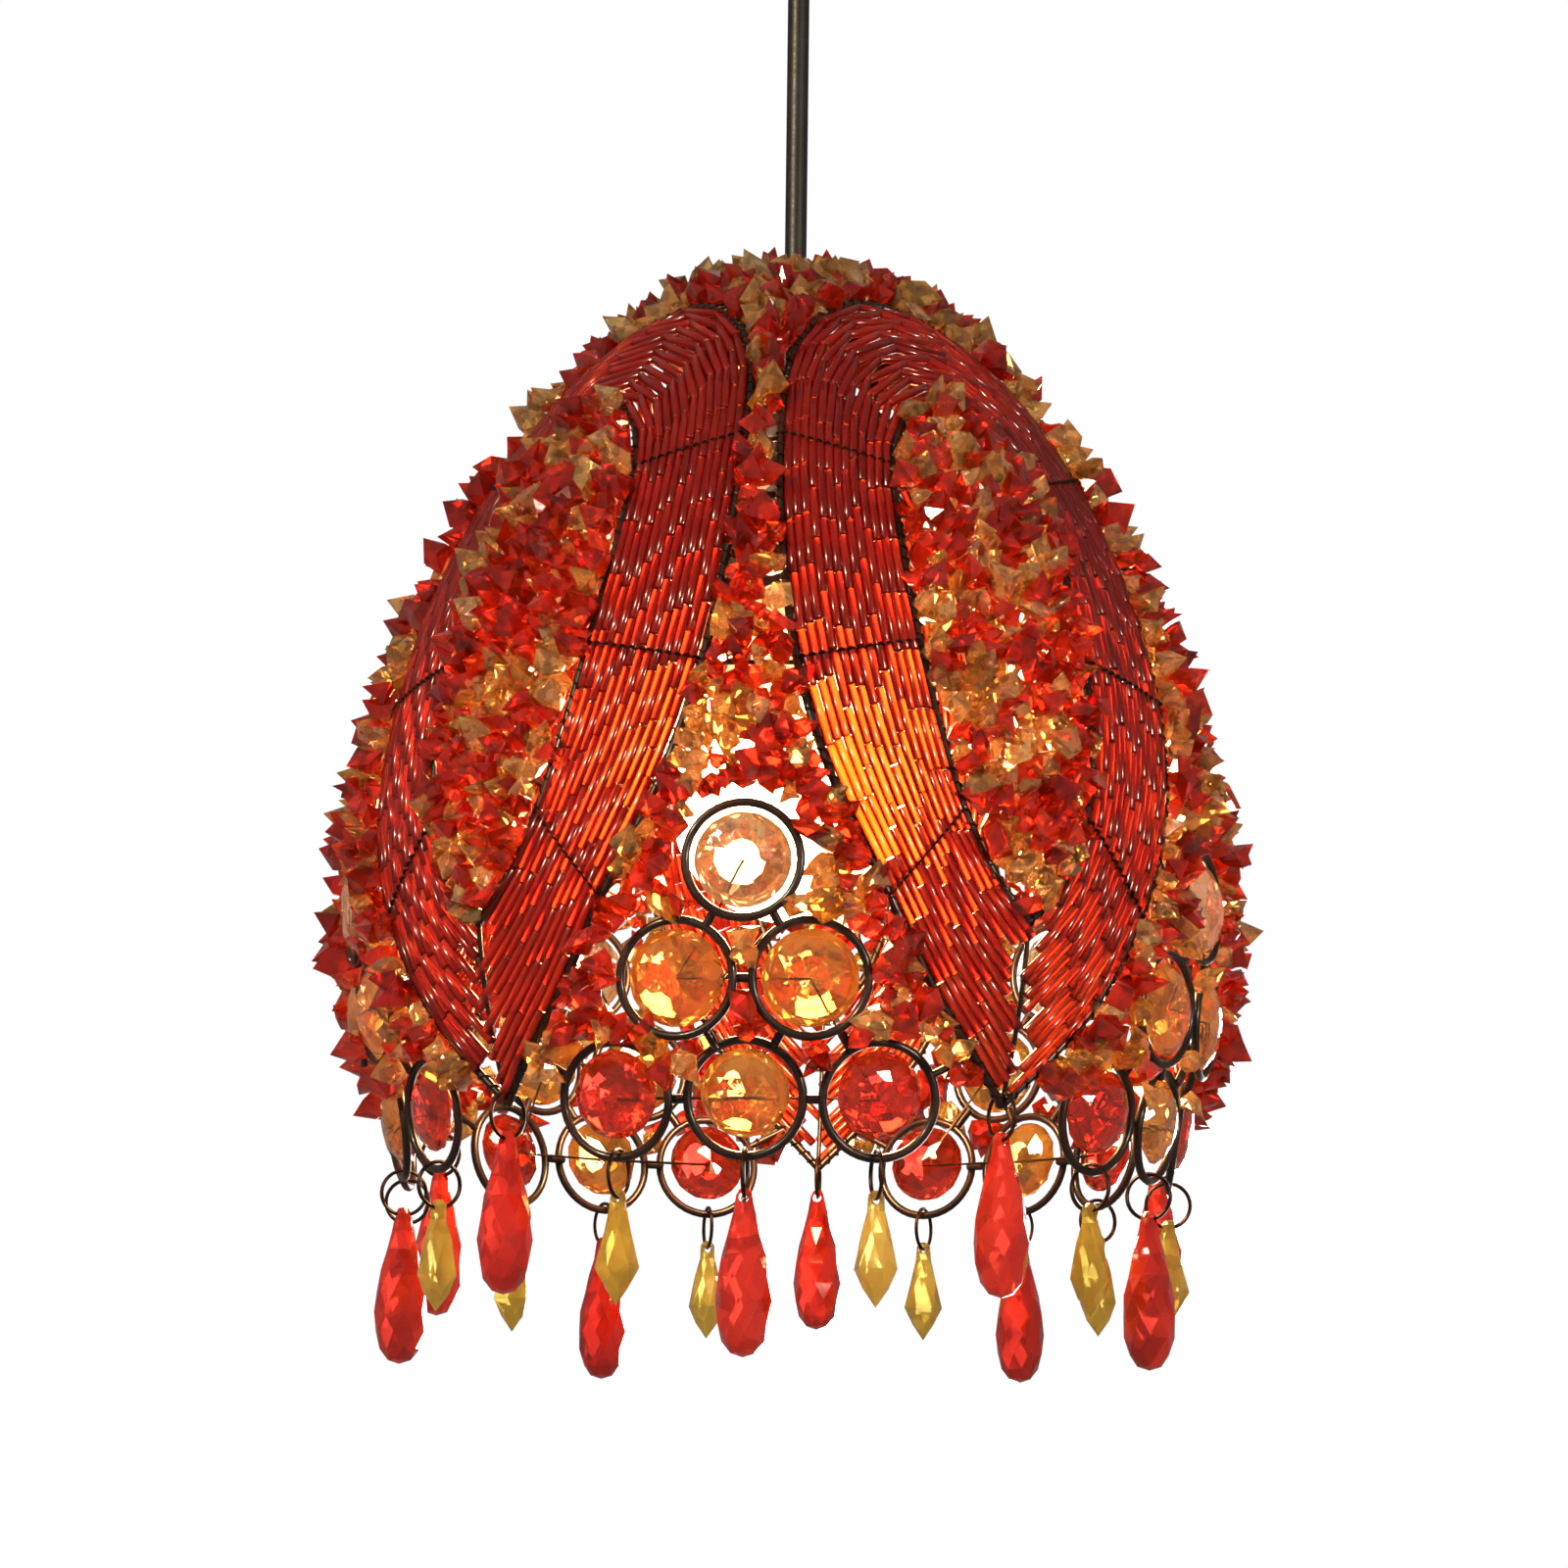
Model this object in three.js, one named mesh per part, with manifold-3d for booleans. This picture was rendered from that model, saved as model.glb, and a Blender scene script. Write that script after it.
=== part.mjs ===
// A hanging pendant lamp. Its domed wire shade is threaded with beads, carries a fringe of drops
// and hangs on a cord from a ceiling cup. Millimetres, +Z up, origin on the ceiling over the axis.
// Angles are degrees round the axis, from -Y towards +X. Heights are above the bottom of the rim, and
// depths are below the top of the dome.

import * as THREE from 'three';
import { mergeVertices } from 'three/addons/utils/BufferGeometryUtils.js';
import Module from 'manifold-3d';

const wasm = await Module();
wasm.setup();

// Fits and wire.
const CLEARANCE = 0.3;
const SMALLEST_DETAIL = 0.01;
const WIRE_RADIUS = 1.05;
const TIE_WIRE_RADIUS = 0.6;
const TIP_WELD_OVERHANG = 0.85;
const STRINGING_WIRE_RADIUS = 0.5;

// The dome.
const SECTORS = 5;
const CEILING_TO_RIM = 365;
const BELLY_RADIUS = 109.5;
const BELLY_HEIGHT = 66;
const RIM_RADIUS = 91;
const DOME_HEIGHT = 236;
const SHOULDER_BULGE = 1.7;
const SHOULDER_ROUNDING = 0.54;
const SKIRT_CURL = 1.85;

// Petals. Each outline point is a share of the petal's height and a share of its half angle.
const PETAL_TIP_HEIGHT = 14.4;
const PETAL_TOP_DEPTH = 15;
const COLUMN_HALF_ANGLE = 3.2;
const PETAL_OUTLINE = [
  [0, 0], [0.105, 0.335], [0.22, 0.564], [0.35, 0.777], [0.487, 0.909],
  [0.632, 0.976], [0.777, 1], [0.898, 0.945], [0.971, 0.64], [1, 0],
];
const HEART_TIP_HEIGHT = 56;
const HEART_TOP_DEPTH = 48;
const HEART_HALF_ANGLE = 14.4;
const HEART_OUTLINE = [
  [0, 0], [0.076, 0.35], [0.19, 0.625], [0.333, 0.806], [0.492, 0.924],
  [0.674, 1], [0.841, 0.958], [0.94, 0.73], [0.985, 0.38], [1, 0],
];
const TIED_POINTS = [2, 4, 6];

// Bead layers, as offsets from the wires' own surface.
const BEAD_BACK = -0.3;
const BAND_FRONT = 2.1;
const BAND_FLOOR = 5.6;
const BAND_CORNER_GAP = 0.8;
const CHIP_FRONT = 8;
const CHIP_FLOOR = 30;
const CHIP_EDGE_ANGLE = 2;
const CROWN_HOLE_GAP = 2.15;
const CROWN_OVERLAP = 3;

// The stringing wire between a heart's chips and the crown's: heights over the heart's top and over
// the petal's top, and whether it has dipped behind the band there.
const CHIP_THREAD_ANGLE = 4;
const CHIP_THREAD_LIFT = 1;
const THREAD_AT_HEART = [[-9, false], [-4, true], [6, true]];
const THREAD_AT_PETAL = [[-8, true], [2, true], [6, false]];

// Rings of the rim, in rows of three, two and one, and the stones that they hold.
const RING_ROWS = 3;
const RING_WELD_GAP = 2;
const RING_LEAN_SHARE = 0.4;
const NEIGHBOUR_REACH = 1.2;
const RIM_STONE_GAP = 2;
const RIM_STONE_LIFT = 1.2;
const UPPER_STONE_GAP = 1;
const STONE_DEPTH = 4;
const STONE_TABLE_SHARE = 0.55;
const STRING_DEPTH_SHARE = 0.7;

// The fringe.
const JUMP_RING_RADIUS = 5.5;
const JUMP_WIRE_RADIUS = 0.5;
const TIP_SEAT_GAP = 0.4;
const DROP_HOLE_RADIUS = 1.3;
const DROP_HOLE_DEPTH = 2.2;
const DROP_GAP = 0.45;
const DROP_NECK_START = 1.2;
const DROP_NECK_END = 0.6;
const DROP_TOP_SHARE = 0.9;
const RED_DROP = { length: 38, radius: 6.6, neck: 2.3, widest: 0.64, shoulder: 0.88, heel: 0.7 };
const GOLD_DROP = { length: 26.5, radius: 5.2, neck: 2.2, widest: 0.68, shoulder: 0.84, heel: 0.55 };

// The lampholder, its ring and the bulb.
const CROWN_RING_DEPTH = 6;
const CROWN_RING_INSET = 2.8;
const CARRIER_DEPTH = 66;
const HOLDER_RADIUS = 19;
const HOLDER_TOP_DEPTH = 20;
const HOLDER_SHOULDER_DEPTH = 38;
const HOLDER_BOTTOM_DEPTH = 84;
const FLANGE_STEP = 2.2;
const FLANGE_THICKNESS = 3;
const FLANGE_TAPER = 2;
const NIPPLE_WALL = 3.8;
const NIPPLE_LENGTH = 8;
const SOCKET_GAP = 1.3;
const SOCKET_DEPTH = 25;
const SHADE_RING_WIDTH = 8;
const SHADE_RING_LENGTH = 10;
const SHADE_RING_LIP = 3;
const BULB_CAP_RADIUS = 13.2;
const BULB_CAP_TAPER = 4;
const BULB_CAP_TIP_SHARE = 0.35;
const BULB_RADIUS = 30;
const BULB_LENGTH = 108;
const GLOBE_STEPS = 6;
const GLOBE_STEP_ANGLE = 27;
const BULB_NECK = { radiusShare: 0.6, heightShare: 0.95, flare: 0.4, length: 4 };

// The cord and the ceiling cup.
const CORD_RADIUS = 2.85;
const CORD_GAP = 0.35;
const CORD_SIDES = 10;
const CORD_STEP = 15;
const CORD_TAIL = 4;
const CORD_SEAT = 10;
const CUP_RADIUS = 38;
const CUP_HEIGHT = 28;
const CUP_WALL = 1.6;
const CUP_OUTSIDE = [[0.72, 1], [0.92, 0.85], [1, 0.6], [1, 0]];
const CUP_INSIDE = [[0.58, 1], [0.8, 0.93]];
const CUP_FLAT_SHARE = 0.73;
const GRIP_STEM_WALL = 1.7;
const GRIP_STEM_LENGTH = 9;
const GRIP_COLLAR_STEP = 3.1;
const GRIP_COLLAR_LENGTH = 8;
const GRIP_TAPER = 3;
const GRIP_MOUTH_SHARE = 0.7;
const BRACKET_WIDTH = 14;
const BRACKET_THICKNESS = 2;
const BRACKET_EAR = 12;
const BRACKET_SLOT_SPACING = 42;
const BRACKET_SLOT_LENGTH = 10;
const BRACKET_SLOT_WIDTH = 4.5;
const BRACKET_INSET = 0.5;
const SCREW_RADIUS = 1.5;
const SCREW_HEAD_RADIUS = 3;
const SCREW_HEAD_LENGTH = 1.8;
const SCREW_LENGTH = 6;
const SCREW_OVERLAP = 0.2;
const SCREW_DROP = 7;

const radians = THREE.MathUtils.degToRad;
const degrees = THREE.MathUtils.radToDeg;
const range = (count) => Array.from({ length: count }, (_, index) => index);
const SECTOR_ANGLE = 360 / SECTORS;
const HALF_SECTOR = SECTOR_ANGLE / 2;
const PETAL_HALF_ANGLE = HALF_SECTOR - COLUMN_HALF_ANGLE;
const HANG_ANGLE = SECTOR_ANGLE / (RING_ROWS + 1);
const WIRE_MARGIN = WIRE_RADIUS + CLEARANCE;
const TIP_WELD_RADIUS = WIRE_RADIUS + TIP_WELD_OVERHANG;
const TIP_SEAT = TIP_WELD_RADIUS + TIP_SEAT_GAP;
const TIE_OFFSET = BEAD_BACK - CLEARANCE - TIE_WIRE_RADIUS;
const PETAL_TOP_HEIGHT = DOME_HEIGHT - PETAL_TOP_DEPTH;
const HEART_TOP_HEIGHT = DOME_HEIGHT - HEART_TOP_DEPTH;
const CROWN_RING_HEIGHT = DOME_HEIGHT - CROWN_RING_DEPTH;
const CARRIER_HEIGHT = DOME_HEIGHT - CARRIER_DEPTH;
const HOLDER_TOP = DOME_HEIGHT - HOLDER_TOP_DEPTH;
const HOLDER_SHOULDER = DOME_HEIGHT - HOLDER_SHOULDER_DEPTH;
const HOLDER_BOTTOM = DOME_HEIGHT - HOLDER_BOTTOM_DEPTH;
const FLANGE_RADIUS = HOLDER_RADIUS + FLANGE_STEP;
const SHADE_RING_RADIUS = HOLDER_RADIUS + SHADE_RING_WIDTH;
const SOCKET_RADIUS = BULB_CAP_RADIUS + SOCKET_GAP;
const CORD_BORE = CORD_RADIUS + CORD_GAP;
const NIPPLE_RADIUS = CORD_BORE + NIPPLE_WALL;
const CROWN_HOLE_RADIUS = CORD_RADIUS + CROWN_HOLE_GAP;
const GRIP_STEM_RADIUS = CORD_BORE + GRIP_STEM_WALL;
const GRIP_COLLAR_RADIUS = GRIP_STEM_RADIUS + GRIP_COLLAR_STEP;

// ---- Solids ----

/** Turn a three.js geometry into a closed solid, without its pole triangles of no area. */
function solidOf(geometry) {
  const bare = geometry.clone();
  bare.deleteAttribute('normal');
  bare.deleteAttribute('uv');
  const merged = mergeVertices(bare, 1e-4);
  const corners = merged.index.array;
  const triangles = [];
  for (let at = 0; at < corners.length; at += 3) {
    const [a, b, c] = [corners[at], corners[at + 1], corners[at + 2]];
    if (a !== b && b !== c && c !== a) {
      triangles.push(a, b, c);
    }
  }
  const mesh = new wasm.Mesh({
    numProp: 3,
    vertProperties: new Float32Array(merged.attributes.position.array),
    triVerts: new Uint32Array(triangles),
  });
  return new wasm.Manifold(mesh);
}

/** Turn a solid back into a geometry with flat shading. */
function geometryOf(solid) {
  const mesh = solid.getMesh();
  const geometry = new THREE.BufferGeometry();
  geometry.setAttribute('position', new THREE.BufferAttribute(mesh.vertProperties, 3));
  geometry.setIndex(new THREE.BufferAttribute(mesh.triVerts, 1));
  geometry.computeVertexNormals();
  return geometry;
}

/** Join a list of geometries into one geometry. */
function joined(geometries) {
  const whole = geometries.map(solidOf).reduce((sum, piece) => sum.add(piece));
  return geometryOf(whole.simplify(SMALLEST_DETAIL));
}

/** Cut a list of geometries out of one geometry, and keep the largest body that is left. */
function cut(geometry, cutters) {
  const left = cutters.map(solidOf).reduce((whole, cutter) => whole.subtract(cutter), solidOf(geometry));
  const bodies = left.decompose().sort((one, other) => other.volume() - one.volume());
  return geometryOf(bodies[0].simplify(SMALLEST_DETAIL));
}

/** A closed solid turned round Z, from [radius, height] points that run up the outside. */
function turned(points, segments) {
  const outline = points.map(([radius, height]) => new THREE.Vector2(radius, height));
  return new THREE.LatheGeometry(outline, segments).rotateX(Math.PI / 2);
}

/** A smooth path whose equal steps fall on its own points. */
class PointPath extends THREE.CatmullRomCurve3 {
  getUtoTmapping(share) {
    return share;
  }
}

/** A wire through a list of points, with a section of a few sides and a corner at each point. */
function wire(points, radius, sides = radius < WIRE_RADIUS ? 3 : 4) {
  const corners = range(sides).map((side) => (2 * Math.PI * side) / sides);
  const section = new THREE.Shape(
    corners.map((turn) => new THREE.Vector2(radius * Math.cos(turn), radius * Math.sin(turn))),
  );
  const extrudePath = new PointPath(points);
  return new THREE.ExtrudeGeometry(section, { steps: points.length - 1, bevelEnabled: false, extrudePath });
}

// ---- The dome ----

/** Radius of the wires' surface at a height. */
function domeRadius(height) {
  if (height > BELLY_HEIGHT) {
    const share = Math.min((height - BELLY_HEIGHT) / (DOME_HEIGHT - BELLY_HEIGHT), 1);
    return BELLY_RADIUS * (1 - share ** SHOULDER_BULGE) ** SHOULDER_ROUNDING;
  }
  const share = (BELLY_HEIGHT - height) / BELLY_HEIGHT;
  return BELLY_RADIUS - (BELLY_RADIUS - RIM_RADIUS) * share ** SKIRT_CURL;
}

/** Height of the wires' surface over the belly at a radius. */
function domeHeight(radius) {
  const share = (1 - (radius / BELLY_RADIUS) ** (1 / SHOULDER_ROUNDING)) ** (1 / SHOULDER_BULGE);
  return BELLY_HEIGHT + share * (DOME_HEIGHT - BELLY_HEIGHT);
}

/** Change of radius for each millimetre of height. */
function domeSlope(height) {
  const reach = 0.05;
  return (domeRadius(height + reach) - domeRadius(height - reach)) / (2 * reach);
}

/** A point on the dome, moved out along the dome's normal by an offset. */
function domePoint({ angle, height }, offset = 0) {
  const slope = domeSlope(height);
  const length = Math.hypot(1, slope);
  const radius = domeRadius(height) + offset / length;
  const turn = radians(angle);
  return new THREE.Vector3(
    radius * Math.sin(turn),
    -radius * Math.cos(turn),
    height - (offset * slope) / length,
  );
}

/** A wire that follows spots on the dome. */
function domeWire(spots, offset, radius) {
  return wire(spots.map((spot) => domePoint(spot, offset)), radius);
}

/** A closed sheet on the dome. Each section is a list of spots across it. */
function sheet(sections, back, front, loops = false) {
  const across = sections[0].length;
  const positions = [];
  for (const offset of [back, front]) {
    for (const spot of sections.flat()) {
      positions.push(...domePoint(spot, offset).toArray());
    }
  }
  const corner = (side, section, place) =>
    (side * sections.length + (section % sections.length)) * across + place;
  const faces = [];
  const quad = (a, b, c, d) => faces.push(a, b, c, a, c, d);
  const lastSection = loops ? sections.length : sections.length - 1;
  for (let section = 0; section < lastSection; section += 1) {
    for (let place = 0; place < across - 1; place += 1) {
      const spots = [[0, 0], [1, 0], [1, 1], [0, 1]].map(([down, along]) => [section + down, place + along]);
      quad(...spots.map(([down, along]) => corner(1, down, along)));
      quad(...spots.toReversed().map(([down, along]) => corner(0, down, along)));
    }
    quad(corner(0, section, 0), corner(0, section + 1, 0), corner(1, section + 1, 0), corner(1, section, 0));
    const edge = across - 1;
    const next = section + 1;
    quad(corner(1, section, edge), corner(1, next, edge), corner(0, next, edge), corner(0, section, edge));
  }
  if (!loops) {
    const end = sections.length - 1;
    for (let place = 0; place < across - 1; place += 1) {
      quad(corner(1, 0, place), corner(1, 0, place + 1), corner(0, 0, place + 1), corner(0, 0, place));
      quad(corner(0, end, place), corner(0, end, place + 1), corner(1, end, place + 1), corner(1, end, place));
    }
  }
  const geometry = new THREE.BufferGeometry();
  geometry.setAttribute('position', new THREE.Float32BufferAttribute(positions, 3));
  geometry.setIndex(faces);
  return geometry;
}

// ---- Petal outlines, as spots on the right half from the tip to the top ----

/** Turn an outline's shares into spots on the dome. */
function outline(points, tip, top, halfAngle) {
  return points.map(([up, out]) => ({ angle: out * halfAngle, height: tip + up * (top - tip) }));
}

/** Move an outline outwards by a distance over the dome, keeping both ends on the middle line. */
function grown(spots, distance) {
  const last = spots.length - 1;
  const moved = spots.map((spot, index) => {
    const before = spots[Math.max(index - 1, 0)];
    const after = spots[Math.min(index + 1, last)];
    const radius = domeRadius(spot.height);
    const stretch = Math.hypot(1, domeSlope(spot.height));
    const along = new THREE.Vector2(
      radius * radians(after.angle - before.angle),
      index === last ? 0 : stretch * (after.height - before.height),
    );
    along.setLength(1);
    return {
      angle: spot.angle + degrees((along.y * distance) / radius),
      height: spot.height - (along.x * distance) / stretch,
      lean: along.y / Math.max(along.x, 1e-6),
      radius,
      stretch,
    };
  });
  const tip = moved[0];
  tip.height -= (radians(tip.angle) * tip.radius * tip.lean) / tip.stretch;
  tip.angle = 0;
  moved[last].angle = 0;
  return moved;
}

/** Both halves of an outline, from its tip up the right side, over the top and back down. */
function bothSides(spots) {
  const left = spots.slice(0, -1).reverse().map(({ angle, height }) => ({ angle: -angle, height }));
  return [...spots, ...left];
}

/** Spots between two spots, in equal steps. */
function between(start, end, steps) {
  return range(steps + 1).map((step) => ({
    angle: THREE.MathUtils.lerp(start.angle, end.angle, step / steps),
    height: THREE.MathUtils.lerp(start.height, end.height, step / steps),
  }));
}

/** Turn spots round the axis. */
function turnedBy(spots, angle) {
  return spots.map((spot) => ({ angle: spot.angle + angle, height: spot.height }));
}

const petal = outline(PETAL_OUTLINE, PETAL_TIP_HEIGHT, PETAL_TOP_HEIGHT, PETAL_HALF_ANGLE);
const heart = outline(HEART_OUTLINE, HEART_TIP_HEIGHT, HEART_TOP_HEIGHT, HEART_HALF_ANGLE);

// ---- Rings of the rim ----

/** Place something at a radius and height, facing out and leaning its top outwards. */
function facingOut(angle, radius, height, lean) {
  return new THREE.Matrix4()
    .makeRotationZ(radians(angle))
    .multiply(new THREE.Matrix4().makeTranslation(0, -radius, height))
    .multiply(new THREE.Matrix4().makeRotationX(Math.PI / 2 + lean));
}

/** Ring size and rows, where rings of one pitch stand in a triangle between two petals. */
function ringLayout() {
  const pitchAt = (height) => 2 * domeRadius(height) * Math.sin(radians(HANG_ANGLE / 2));
  let pitch = pitchAt(PETAL_TIP_HEIGHT);
  pitch = pitchAt(pitch / 2 - RING_WELD_GAP / 2);
  const radius = (pitch - RING_WELD_GAP) / 2 - WIRE_RADIUS;
  const spots = [];
  for (const row of range(RING_ROWS)) {
    const height = radius + WIRE_RADIUS + row * pitch * Math.cos(radians(30));
    const step = 2 * degrees(Math.asin(pitch / 2 / domeRadius(height)));
    const count = RING_ROWS - row;
    for (const place of range(count)) {
      const angle = (place - (count - 1) / 2) * step;
      spots.push({ row, place, angle, height, lean: RING_LEAN_SHARE * Math.atan(domeSlope(height)) });
    }
  }
  return { radius, pitch, spots };
}

const rings = ringLayout();
const ringPlace = ({ angle, height, lean }, turn) => facingOut(angle + turn, domeRadius(height), height, lean);
const ringCentre = (spot, turn) => new THREE.Vector3().applyMatrix4(ringPlace(spot, turn));
const rimRing = rings.spots[(RING_ROWS - 1) / 2];
const STONE_ROOM = rings.radius - WIRE_RADIUS;
const RIM_WIRE_CIRCLE = domeRadius(rimRing.height) - rings.radius * Math.sin(rimRing.lean);
const RIM_WIRE_HEIGHT = rimRing.height - rings.radius * Math.cos(rimRing.lean);

// ---- The wire frame ----

/** One petal's two wires, its tie wires, the weld at its tip and its link to the crown ring. */
function petalWires(middle) {
  const place = (spots) => turnedBy(spots, middle);
  const pieces = [petal, heart].map((spots) => domeWire(place(bothSides(spots)), 0, WIRE_RADIUS));
  for (const side of [-1, 1]) {
    for (const point of TIED_POINTS) {
      const tie = between(heart[point], petal[point], 1);
      const mirrored = tie.map(({ angle, height }) => ({ angle: side * angle, height }));
      pieces.push(domeWire(place(mirrored), TIE_OFFSET, TIE_WIRE_RADIUS));
    }
  }
  for (const tip of [petal[0], heart[0]]) {
    const weld = new THREE.OctahedronGeometry(TIP_WELD_RADIUS);
    pieces.push(weld.translate(...domePoint(place([tip])[0]).toArray()));
  }
  const [start, end] = place([petal.at(-1), { angle: 0, height: CROWN_RING_HEIGHT }]);
  pieces.push(wire([domePoint(start, TIE_OFFSET), domePoint(end, -CROWN_RING_INSET)], TIE_WIRE_RADIUS));
  return pieces;
}

/** The point of a ring's wire that is nearest to a target. */
function ringPoint(spot, turn, target) {
  const place = ringPlace(spot, turn);
  const local = target.clone().applyMatrix4(place.clone().invert());
  return local.setZ(0).setLength(rings.radius).applyMatrix4(place);
}

/** One gap's rings, the welds between them and the bars across the gap behind its beads. */
function gapWires(middle) {
  const pieces = rings.spots.map((spot) => {
    const ring = new THREE.TorusGeometry(rings.radius, WIRE_RADIUS, 4, 10).rotateZ(Math.PI / 2);
    return ring.applyMatrix4(ringPlace(spot, middle));
  });
  const gap = (one, other) => ringCentre(one, 0).distanceTo(ringCentre(other, 0));
  const isNear = (one, other) => gap(one, other) < NEIGHBOUR_REACH * rings.pitch;
  rings.spots.forEach((one, index) => {
    for (const other of rings.spots.slice(index + 1).filter((spot) => isNear(one, spot))) {
      const start = ringPoint(one, middle, ringCentre(other, middle));
      const end = ringPoint(other, middle, ringCentre(one, middle));
      pieces.push(wire([start, end], TIE_WIRE_RADIUS));
    }
  });
  for (const side of [-1, 1]) {
    const rimEnd = rings.spots[side < 0 ? 0 : RING_ROWS - 1];
    const [tip, bend] = petal.slice(0, 2).map(({ angle, height }) =>
      domePoint({ angle: middle + side * (HALF_SECTOR - angle), height }));
    const leg = tip.lerp(bend, 0.5);
    pieces.push(wire([ringPoint(rimEnd, middle, leg), leg], TIE_WIRE_RADIUS));
  }
  for (const point of TIED_POINTS.slice(1)) {
    const { angle, height } = petal[point];
    const reach = HALF_SECTOR - angle;
    const across = between({ angle: middle - reach, height }, { angle: middle + reach, height }, 2);
    pieces.push(domeWire(across, TIE_OFFSET, TIE_WIRE_RADIUS));
  }
  return pieces;
}

/** The crown ring, the carrier ring round the lampholder and the arms between them. */
function galleryWires() {
  const crown = domePoint({ angle: 0, height: CROWN_RING_HEIGHT }, -CROWN_RING_INSET);
  const crownRadius = -crown.y;
  const carrierRadius = HOLDER_RADIUS + CLEARANCE + 2 * WIRE_RADIUS;
  const footRadius = FLANGE_RADIUS + CLEARANCE + WIRE_RADIUS;
  const ring = (radius, height) => new THREE.TorusGeometry(radius, WIRE_RADIUS, 4, 15).translate(0, 0, height);
  const arms = range(SECTORS).map((index) => {
    const turn = new THREE.Matrix4().makeRotationZ(radians(index * SECTOR_ANGLE));
    const foot = new THREE.Vector3(0, -footRadius, CARRIER_HEIGHT).applyMatrix4(turn);
    const head = crown.clone().applyMatrix4(turn);
    return wire([foot, head], WIRE_RADIUS);
  });
  return [ring(crownRadius, crown.z), ring(carrierRadius, CARRIER_HEIGHT), ...arms];
}

/** The whole welded frame. */
function wireFrame() {
  const pieces = galleryWires();
  for (const index of range(SECTORS)) {
    pieces.push(...gapWires(index * SECTOR_ANGLE));
    pieces.push(...petalWires((index + 0.5) * SECTOR_ANGLE));
  }
  return joined(pieces);
}

// ---- Beads ----

/** One petal's band of bead strands, between its two wires. */
function beadBand(middle) {
  const innerEdge = grown(heart, WIRE_MARGIN);
  const corner = HEART_TIP_HEIGHT - TIP_WELD_RADIUS - BAND_CORNER_GAP;
  innerEdge[0].height = Math.min(innerEdge[0].height, corner);
  const inner = bothSides(innerEdge);
  const outer = bothSides(grown(petal, -WIRE_MARGIN));
  const floor = PETAL_TIP_HEIGHT + BAND_FLOOR;
  const sections = inner.slice(0, -1).map((spot, index) => {
    const rim = { angle: outer[index].angle, height: Math.max(outer[index].height, floor) };
    return turnedBy(between(spot, rim, 2), middle);
  });
  return sheet(sections.toReversed(), BEAD_BACK, BAND_FRONT, true);
}

/** The chip beads inside one petal's inner wire. */
function heartChips(middle) {
  const edge = grown(heart, -WIRE_MARGIN).slice(1, -1).reverse();
  const sections = edge.map(({ angle, height }) =>
    turnedBy(between({ angle: -angle, height }, { angle, height }, 2), middle));
  return sheet(sections, BEAD_BACK, CHIP_FRONT);
}

/** The chip beads between two petals, cut round the rings. */
function gapChips(middle) {
  const edge = grown(petal, WIRE_MARGIN).filter(({ height }) => height > CHIP_FLOOR).reverse();
  const widest = HALF_SECTOR - CHIP_EDGE_ANGLE;
  const sections = edge.map(({ angle, height }) => {
    const reach = Math.min(HALF_SECTOR - angle, widest);
    return turnedBy(between({ angle: -reach, height }, { angle: reach, height }, 4), middle);
  });
  const overlap = { angle: widest, height: edge[0].height + CROWN_OVERLAP };
  sections.unshift(turnedBy(between({ ...overlap, angle: -widest }, overlap, 4), middle));
  const sides = 10;
  const room = (rings.pitch / 2 + CLEARANCE) / Math.cos(Math.PI / sides);
  const cutters = rings.spots.map((spot) => {
    const disc = new THREE.CylinderGeometry(room, room, 4 * CHIP_FRONT, sides).rotateX(Math.PI / 2);
    return disc.applyMatrix4(ringPlace(spot, middle));
  });
  return cut(sheet(sections, BEAD_BACK, CHIP_FRONT - CLEARANCE), cutters);
}

/** The chip beads over the crown, round the cord. */
function crownChips() {
  const rimHeight = PETAL_TOP_HEIGHT + WIRE_MARGIN;
  const radii = [domeRadius(rimHeight), 0.5 * (CROWN_HOLE_RADIUS + domeRadius(rimHeight)), CROWN_HOLE_RADIUS];
  const sections = range(4 * SECTORS).map((index) =>
    radii.map((radius) => ({ angle: (index * 360) / (4 * SECTORS), height: domeHeight(radius) })));
  return sheet(sections, BEAD_BACK, CHIP_FRONT, true);
}

/** The stringing wire that runs from one petal's chips to the crown, behind its band. */
function chipThread(middle) {
  const behind = -WIRE_MARGIN - STRINGING_WIRE_RADIUS;
  const stretches = [[HEART_TOP_HEIGHT, THREAD_AT_HEART], [PETAL_TOP_HEIGHT, THREAD_AT_PETAL]];
  const route = stretches.flatMap(([start, stops]) =>
    stops.map(([over, dipped]) => [start + over, dipped ? behind : CHIP_THREAD_LIFT]));
  const angle = middle + CHIP_THREAD_ANGLE;
  const points = route.map(([height, offset]) => domePoint({ angle, height }, offset));
  return wire(points, STRINGING_WIRE_RADIUS);
}

/** All the chip beads, which hold one another on their stringing wires. */
function chipBeads() {
  const pieces = [crownChips()];
  for (const index of range(SECTORS)) {
    const middle = (index + 0.5) * SECTOR_ANGLE;
    pieces.push(gapChips(index * SECTOR_ANGLE), heartChips(middle), chipThread(middle));
  }
  return joined(pieces);
}

// ---- Stones in the rings ----

/** One faceted stone, facing +Z. */
function stone(radius) {
  const table = STONE_TABLE_SHARE * radius;
  const back = [[0, -STONE_DEPTH], [table, -STONE_DEPTH]];
  const front = [[table, STONE_DEPTH], [0, STONE_DEPTH]];
  return turned([...back, [radius, 0], ...front], 8);
}

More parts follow.
